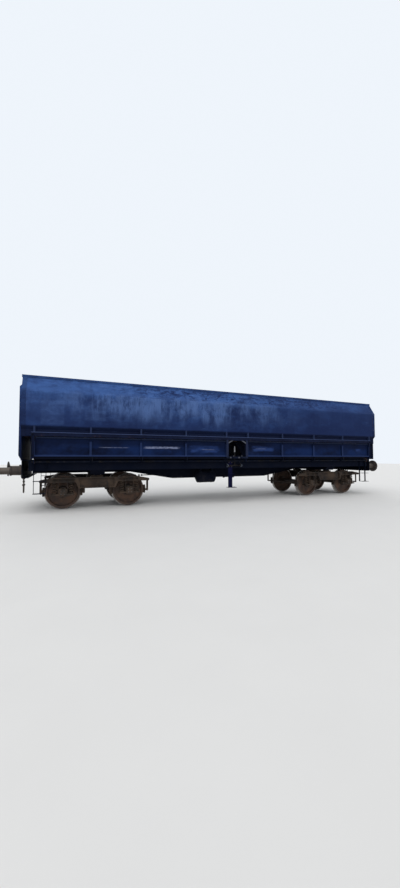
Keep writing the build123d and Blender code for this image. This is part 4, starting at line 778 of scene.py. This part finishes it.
def dentedDepth(x, z, seed):
    # how far each point moves inwards: a half sine between posts plus a sum of bell-shaped dents
    shape = wallSkinShape
    stops = np.array([-shape["lastPost"], *wagon["postLines"], shape["lastPost"]])
    bay = np.clip(np.searchsorted(stops, x) - 1, 0, len(stops) - 2)
    share = np.clip((x - stops[bay]) / (stops[bay + 1] - stops[bay]), 0, 1)
    upright, slope = fade(z, *shape["upright"]), fade(z, *shape["slope"])
    draw = np.random.default_rng(seed)
    strength = 0.6 + 0.6 * draw.random(len(stops))
    bulge = np.sin(math.pi * share) * strength[bay]
    inward = shape["waviness"] * bulge[:, None] * (upright + shape["slopeWaviness"] * slope)
    stiff = np.minimum(1, np.abs(x[:, None] - stops).min(axis=1) / shape["stiffReach"])
    for _ in range(shape["dents"]):
        atX, atZ, width, height, part = (draw.uniform(*span) for span in shape["dentSpans"])
        depth = shape["dentDepth"] * part * (1 if draw.random() < shape["inwardShare"] else -0.5)
        bell = np.exp(-((x[:, None] - atX) / width) ** 2 - ((z - atZ) / height) ** 2)
        inward += depth * bell * (upright + slope) * stiff[:, None]
    return inward


def wallSkin(name, sign):
    # outer face: x runs along the wagon, the profile runs up the wall, and each point moves inwards by
    # its dented depth; the inner face is the same less the sheet
    shape = wallSkinShape
    line = roundedLine(wagon["wallLine"], *shape["bends"])
    filled = [line[:1]]
    for first, second in zip(line[:-1], line[1:]):
        count = max(1, int(np.linalg.norm(second - first) / shape["upStep"]))
        filled.append(first + (second - first) * np.arange(1, count + 1)[:, None] / count)
    line = np.concatenate(filled)
    tangent = unit(np.gradient(line, axis=0))
    normal = np.stack([tangent[:, 1], -tangent[:, 0]], axis=1)
    rows = int(2 * wagon["halfLength"] / shape["alongStep"])
    x = np.linspace(-wagon["halfLength"], wagon["halfLength"], rows)
    inward = dentedDepth(x, line[:, 1], shape["seeds"][name])
    outer = line - normal * inward[:, :, None]
    ring = np.concatenate([outer, (outer - normal * wagon["sheet"])[:, ::-1, :]], axis=1)
    columns = ring.shape[1]
    grid = np.stack(np.broadcast_arrays(x[:, None], ring[:, :, 0] * sign, ring[:, :, 1]), axis=-1)
    k = np.arange(columns // 2 - 1)
    cap = np.stack([k, k + 1, columns - 2 - k, columns - 1 - k], axis=-1)
    tables = [gridFaces(rows, columns), cap[:, ::-1], cap + (rows - 1) * columns]
    if sign < 0:
        tables = [table[:, ::-1] for table in tables]
    return grid.reshape(-1, 3), tables


springShape = {
    "coilRadius": 0.052,
    "wireRadius": 0.0135,
    "wireSides": 8,
    "turns": 5.6,
    "pointsPerTurn": 18,
    "deadCoil": 0.12,  # share of the wire in each closed end turn
    "foot": 0.453,
    "head": 0.758,
    "offset": 0.21,  # from the axle
    "lines": (-1.0, 1.0),
}


def coilSprings(axles):
    # helix: a point goes round at a constant radius and rises between its closed end turns;
    # a round wire is carried along it
    shape = springShape
    share = np.linspace(0, 1, int(shape["turns"] * shape["pointsPerTurn"]))
    turn = 2 * math.pi * shape["turns"] * share
    dead = shape["deadCoil"]
    eased = np.clip((share - dead) / (1 - 2 * dead), 0, 1)
    low, high = shape["foot"] + shape["wireRadius"], shape["head"] - shape["wireRadius"]
    outward = np.stack([np.cos(turn), np.sin(turn), 0 * turn], axis=1)
    path = outward * shape["coilRadius"] + np.array([0, 0, 1.0]) * (low + (high - low) * eased)[:, None]
    spring = rod(path, shape["wireRadius"], outward, shape["wireSides"])
    return copies(spring, [
        (axle + way * shape["offset"], line, 0)
        for axle in axles for way in (-1, 1) for line in shape["lines"]
    ])


couplingShape = {
    "x": 6.205,
    "heights": (1.088, 0.838, 0.648, 0.477),  # hook pin, upper nut, lower nut, middle of the bow's arc
    "bar": 0.049,  # distance of the bars from the middle
    "barThick": 0.018,
    "barRows": 44,
    "squareness": 0.35,  # power of cosine and sine in the bars' section: 1 is round, 0 square
    "eye": 0.036,  # radius of the bars' eyes
    "shank": 0.018,  # half width of the bars between them
    "screw": 0.020,
    "pitch": 0.009,
    "rowsPerPitch": 8,
    "threadDepth": 0.0028,
    "plain": (0.030, 0.006),  # half length of the screw's plain middle, and where the thread fades in
    "bow": 0.018,
    "bowSides": 14,
    "bowAbove": 0.02,  # how far under the lower nut the bow's legs start
    # radius and height of the turned pieces, from the middle outwards
    "pin": [(0.0235, 0.062), (0.034, 0.063), (0.034, 0.072), (0.030, 0.075)],
    "nut": [(0.034, 0.032), (0.030, 0.036), (0.030, 0.060), (0.0235, 0.061), (0.0235, 0.072), (0.020, 0.075)],
    "collar": [(0.031, 0), (0.029, 0.022), (0.0195, 0.026)],
    "ring": [(0.035, 0.012), (0.031, 0.016)],
    "handle": [(0.0085, 0.02), (0.0068, 0.061), (0.013, 0.069), (0.013, 0.079), (0.006, 0.085)],
    "handleSides": 12,
}


def eyeBar(low, high, place):
    # section at height z: a superellipse whose half width is the larger of both eyes' circles and the shank,
    # blended by the fourth root of the sum of their fourth powers
    shape = couplingShape
    reach = shape["eye"] * 0.995
    z = np.linspace(low - reach, high + reach, shape["barRows"])[:, None]
    eyes = [np.sqrt(np.clip(shape["eye"]**2 - (z - at)**2, 1e-8, None)) for at in (low, high)]
    between = 1 - ((z - (low + high) / 2) / ((high - low) / 2 + 0.01))**20
    width = (eyes[0]**4 + eyes[1]**4 + (shape["shank"] * np.clip(between, 0, 1))**4)**0.25
    across, along = (np.sign(wave) * np.abs(wave)**shape["squareness"]
                     for wave in (np.cos(roundOf(20)), np.sin(roundOf(20))))
    return tube(place[0] + width * across, place[1] + shape["barThick"] / 2 * along, z)


def threadedScrew(x, low, high):
    # radius at angle a and height z: the screw's own less a triangle wave of a / turn + z / pitch,
    # wound the other way above the middle and left plain near it
    shape = couplingShape
    z = np.linspace(low, high, int((high - low) / shape["pitch"] * shape["rowsPerPitch"]))[:, None]
    angle = roundOf(20)
    middle = (low + high) / 2
    plain, fading = shape["plain"]
    phase = (np.sign(z - middle) * angle / (2 * math.pi) + z / shape["pitch"]) % 1
    groove = np.abs(phase * 2 - 1) * np.clip((np.abs(z - middle) - plain) / fading, 0, 1)
    radius = shape["screw"] - shape["threadDepth"] * groove
    return tube(x + radius * np.cos(angle), radius * np.sin(angle), z)


def couplingBow(x, start, middle):
    # down one side, half round and up the other
    shape = couplingShape
    angle = np.linspace(0, math.pi, 17)
    down = np.linspace(start, middle, 8)[:-1]
    leg = np.full(len(down), shape["bar"])
    across = np.concatenate([leg, shape["bar"] * np.cos(angle), -leg])
    height = np.concatenate([down, middle - shape["bar"] * np.sin(angle), down[::-1]])
    path = np.stack([np.full(len(across), x), across, height], axis=1)
    return rod(path, shape["bow"], (1, 0, 0), shape["bowSides"])


def screwCoupling(x):
    shape = couplingShape
    pinZ, upperZ, lowerZ, bowZ = shape["heights"]
    middle, crosswise = (upperZ + lowerZ) / 2, (0, 1, 0)
    pin, nut, ring, collar = (turned(mirrored(shape[name])) for name in ("pin", "nut", "ring", "collar"))
    handle = turned(mirrored(shape["handle"]), shape["handleSides"])
    parts = [turnedTo(piece, crosswise, (x, 0, z))
             for piece, z in ((pin, pinZ), (nut, upperZ), (nut, lowerZ), (handle, middle))]
    parts.append(turnedTo(collar, (0, 0, 1), (x, 0, middle)))
    parts.append(threadedScrew(x, lowerZ, upperZ))
    for y in (-shape["bar"], shape["bar"]):
        parts.append(eyeBar(upperZ, pinZ, (x, y)))
        parts.append(turnedTo(ring, crosswise, (x, y, lowerZ)))
    parts.append(couplingBow(x, lowerZ - shape["bowAbove"], bowZ))
    return joined(parts)


tankShape = {
    # y, z and radius of what the rings hold, their own radius, half width, chamfer and places
    "straps": ((-0.62, 0.808, 0.2), 0.205, 0.025, 0.002, (-0.95, -0.55)),
    "flanges": ((0.62, 0.843, 0.165), 0.186, 0.011, 0.003, (0.552, 0.948)),
    "flangeBolts": 8,
    "sunk": 0.002,  # how far the rings reach into what they hold
    "shoulder": 0.003,
    "sides": 48,
}


def tankBands():
    # straps round the reservoir and flanges round the cylinder: low turned rings with chamfered edges
    shape = tankShape
    parts = []
    for (y, z, radius), top, half, edge, places in (shape["straps"], shape["flanges"]):
        profile = [(top, half - shape["shoulder"]), (top - edge, half), (radius - shape["sunk"], half)]
        ring = turned(mirrored(profile), shape["sides"])
        parts += [turnedTo(ring, (1, 0, 0), (place, y, z)) for place in places]
    return joined(parts)


railFootShape = {
    "x": 5.868,
    "y": 1.485,
    "heights": (1.488, 2.033),
    "radius": 0.024,
    "thick": 0.007,
    # shares of the radius and of the thickness, from the post outwards
    "profile": ((1, 0), (1, 0.6), (0.85, 1), (0.52, 1.3), (0.46, 2.2)),
}


def railFeet():
    # small turned rosettes where the handrails meet the posts
    shape = railFootShape
    foot = turned([(shape["radius"] * wide, shape["thick"] * high) for wide, high in shape["profile"]])
    return joined([
        copies(turnedTo(foot, (0, side, 0)),
               [(end * shape["x"], side * shape["y"], z) for end in (-1, 1) for z in shape["heights"]])
        for side in (-1, 1)
    ])


boltShape = {
    "across": 0.030,
    "high": 0.016,
    "chamfer": 0.003,
    "chamferShare": 0.86,  # of the head's corners at its top
    "washer": 0.040,
    "washerHigh": 0.004,
    "washerFoot": (0.94, 0.4),  # share of its radius at its foot, and of its height where it is full
    "washerSides": 14,
    "bufferFoot": (6.15, 0.13),  # x and half spacing
    "drawPlate": (6.146, 0.095, 0.075),  # x, half spacing across and up
    "centreStep": (0.135, 1.242, 0.05, (1.14, 1.27)),  # x, y, half spacing and heights
    "flangeRing": 0.001,  # how far outside the middle of the flange its bolts stand
    "boxCover": (1.122, 0.06),  # y and radius of the ring of bolts on an axle box
    "boxAngles": (45, 135, 225, 315),
}


def boltGroup(table):
    # six-sided heads with chamfered tops on round washers; table: an axis and the places of its bolts
    shape = boltShape
    radius, deep, corner = shape["washer"] / 2, shape["washerHigh"], shape["across"] / math.sqrt(3)
    wide, full = shape["washerFoot"]
    under = turned([(radius * wide, 0), (radius, deep * full), (radius, deep)], shape["washerSides"])
    head = turned([(corner, deep), (corner, shape["high"] - shape["chamfer"]),
                   (corner * shape["chamferShare"], shape["high"])], 6)
    bolt = joined([under, head])
    return joined([copies(turnedTo(bolt, axis), places) for axis, places in table])


def wagonBolts():
    # on buffer feet and draw plates, centre steps and the flanges of the brake cylinder
    shape = boltShape
    bufferY, bufferZ = wagon["buffer"]
    table = []
    for way in (-1, 1):
        x, half = shape["bufferFoot"]
        places = [(way * x, side * bufferY + dy, bufferZ + dz)
                  for side in (-1, 1) for dy in (-half, half) for dz in (-half, half)]
        x, across, up = shape["drawPlate"]
        places += [(way * x, dy, bufferZ + dz) for dy in (-across, across) for dz in (-up, up)]
        table.append(((way, 0, 0), places))
        x, y, half, heights = shape["centreStep"]
        table.append(((0, way, 0), [(way * x + dx, way * y, z) for dx in (-half, half) for z in heights]))
    (y, z, inner), outer, half, _, flanges = tankShape["flanges"]
    radius = (inner + outer) / 2 + shape["flangeRing"]
    around = roundOf(tankShape["flangeBolts"])
    for way, flange in zip((-1, 1), flanges):
        x = flange + way * half
        places = [(x, y + radius * math.cos(a), z + radius * math.sin(a)) for a in around]
        table.append(((way, 0, 0), places))
    return boltGroup(table)


def bogieBolts(axles):
    # a ring of bolts on the cover of each axle box
    y, radius = boltShape["boxCover"]
    return boltGroup([
        ((0, way, 0), [
            (axle + radius * math.cos(a), way * y, wagon["axleHeight"] + radius * math.sin(a))
            for axle in axles for a in np.radians(boltShape["boxAngles"])
        ])
        for way in (-1, 1)
    ])


weldShape = {
    "radius": 0.005,
    "step": 0.014,
    "ripple": 0.28,  # share by which the radius swells for a drop
    "drop": 0.9,  # half turns of the swelling from one point to the next
    "tip": 0.15,  # share of the radius at both ends
    "sides": 6,
    # end walls: x of their faces, y of the posts, half width of a post, heights of the seam
    "ends": (6.131, (-1.0, -0.38, 0.38, 1.0), 0.04, (1.38, 3.37)),
    # tuck: x of the brackets, half their thickness, and y and z of each seam's ends
    "brackets": (0.39, 1.75, 3.11, 4.47, 5.83),
    "bracketHalf": 0.0225,
    "tuck": (
        ((1.427, 2.092), (1.427, 2.16)),
        ((1.427, 2.164), (1.496, 2.246)),
        ((1.428, 2.093), (1.494, 2.093)),
    ),
    # sills: y of their faces, and x, half thickness and heights where steps and lever brackets meet them
    "sillY": 1.231,
    "sills": ((5.556, 0.006, 1.10, 1.32), (5.844, 0.006, 1.10, 1.32), (0.253, 0.008, 1.125, 1.23)),
}


def weldBeads(seams):
    # each seam: a round bead along a straight line, half sunk in the plates, that swells for every drop
    shape = weldShape
    beads = []
    for first, last in np.asarray(seams, float):
        count = max(4, int(np.linalg.norm(last - first) / shape["step"]))
        along = unit(last - first)
        side = np.cross(along, (0, 0, 1.0) if abs(along[2]) < 0.9 else (1.0, 0, 0))
        swell = shape["ripple"] * np.sin(np.arange(count) * math.pi * shape["drop"])
        radius = shape["radius"] * (1 + swell)
        radius[[0, -1]] = shape["radius"] * shape["tip"]
        path = first + (last - first) * np.linspace(0, 1, count)[:, None]
        beads.append(rod(path, radius, unit(side), shape["sides"]))
    return joined(beads)


def endSeams():
    # up both edges of each post on the end walls
    x, posts, half, heights = weldShape["ends"]
    return [
        [(way * x, post + edge, z) for z in heights]
        for way in (-1, 1) for post in posts for edge in (-half, half)
    ]


def tuckSeams():
    # round both faces of each bracket between the hinge bar and the wall
    half = weldShape["bracketHalf"]
    return [
        [(way * bracket + edge, side * y, z) for y, z in seam]
        for side in (-1, 1) for bracket in weldShape["brackets"]
        for way in (-1, 1) for edge in (-half, half) for seam in weldShape["tuck"]
    ]


def sillSeams():
    # where steps and lever brackets meet the sills
    return [
        [(way * x + edge, side * weldShape["sillY"], z) for z in heights]
        for side in (-1, 1) for way in (-1, 1)
        for x, half, *heights in weldShape["sills"] for edge in (-half, half)
    ]


# Finishes, the nodes that wear them, and the new pieces
bodyPaint = paintedBody("bodyPaint")
edgePaint = paintedBody("edgePaint", deeper=0.35, runs=False)
endPaint = paintedBody("endPaint", deeper=0.15)
postPaint = paintedBody("postPaint", deeper=0.45, runs=False)
openingPaint = openingFinish()
flapFinish = paintedFlaps()
barFinish = hingeBarFinish()
sillFinish = underframeFinish("sillPaint")
framesFinish = underframeFinish("shadedFrames", brown=0.2, dusty=0.3)
tankFinish = underframeFinish("tankPaint", brown=0.5, dusty=0.5)
floorFinish = wornFloorFinish()
castFinish = bogieFinish()
greasedSteel = steelFinish("greasedSteel", (44, 40, 38), (92, 84, 78), rub=0.3, shine=0.3, rust=0.55)
rodSteel = steelFinish("rodSteel", (26, 25, 26), (52, 46, 43), rub=0.2, shine=0.2, rust=0.55)
shaftSteel = steelFinish("shaftSteel", (8, 13, 27), (18, 24, 38), rub=0.05, shine=0.06, rust=0.1)
leverSteel = leverFinish()
railPaint = underframeFinish("railPaint", brown=0.3, dusty=0.2)
stepPaint = underframeFinish("stepPaint", brown=0.15, dusty=0.2, foot=0.9, paint="navy")
bufferSteel = bufferFinish()
print("materials made")

finishOf = {name: finish for finish, names in (
    (floorFinish, "saddle_floor control_covers end_slopes wall_posts cross_ties"),
    (framesFinish, "saddle_frames"),
    (bodyPaint, "side_wall_left side_wall_right"),
    (edgePaint, "top_rim corner_posts"),
    (endPaint, "end_wall_a end_wall_b end_posts"),
    (barFinish, "hinge_beam_left hinge_beam_right"),
    (flapFinish, "flap_left_a flap_left_b flap_right_a flap_right_b"),
    (openingPaint, "centre_frames"),
    (postPaint, "end_frames"),
    (shaftSteel, "operating_shafts"),
    (leverSteel, "control_levers"),
    (sillFinish, "centre_sill side_sills cross_members headstocks body_bolsters brake_pipe"),
    (bufferSteel, "buffers"),
    (greasedSteel, "draw_hooks screw_couplings"),
    (tankFinish, "air_reservoir brake_cylinder"),
    (rodSteel, "brake_rods"),
    (stepPaint, "centre_steps"),
    (railPaint, "corner_steps handrails"),
    (castFinish, "bogie_frame_a axle_boxes_a springs_a brake_gear_a"),
    (castFinish, "bogie_frame_b axle_boxes_b springs_b brake_gear_b"),
) for name in names.split()}
for end, axles in wagon["axles"].items():
    for number, axle in enumerate(axles, 1):
        name = f"wheelset_{end}{number}"
        finishOf[name] = wheelFinish(name + "Steel", axle)
for name, node in nodes.items():
    node.data.materials.clear()
    node.data.materials.append(finishOf[name])
print("nodes finished", len(nodes))

for side, sign in (("left", 1), ("right", -1)):
    skin = wallSkin(side, sign)
    makePiece(f"wallSkin_{side}", skin, bodyPaint, "wagon", stands=f"side_wall_{side}")
for end, axles in wagon["axles"].items():
    springs, body = coilSprings(axles), f"bogie_{end}"
    makePiece(f"coilSprings_{end}", springs, castFinish, body, stands=f"springs_{end}")
couplings = joined([screwCoupling(end * couplingShape["x"]) for end in (-1, 1)])
makePiece("screwCouplings", couplings, greasedSteel, "wagon", stands="screw_couplings")
makePiece("boltsWagon", wagonBolts(), greasedSteel, "wagon", smooth=False)
for end, axles in wagon["axles"].items():
    bolts, body = bogieBolts(axles), f"bogie_{end}"
    makePiece(f"boltsBogie_{end}", bolts, greasedSteel, body, smooth=False)
makePiece("tankBands", tankBands(), tankFinish, "wagon")
makePiece("railFeet", railFeet(), railPaint, "wagon")
makePiece("weldsEnds", weldBeads(endSeams()), endPaint, "wagon")
makePiece("weldsTuck", weldBeads(tuckSeams()), barFinish, "wagon")
makePiece("weldsSills", weldBeads(sillSeams()), sillFinish, "wagon")

setCamera()
setStage()
scene.view_settings.view_transform = "Standard"
print("camera, floor and lamps set")
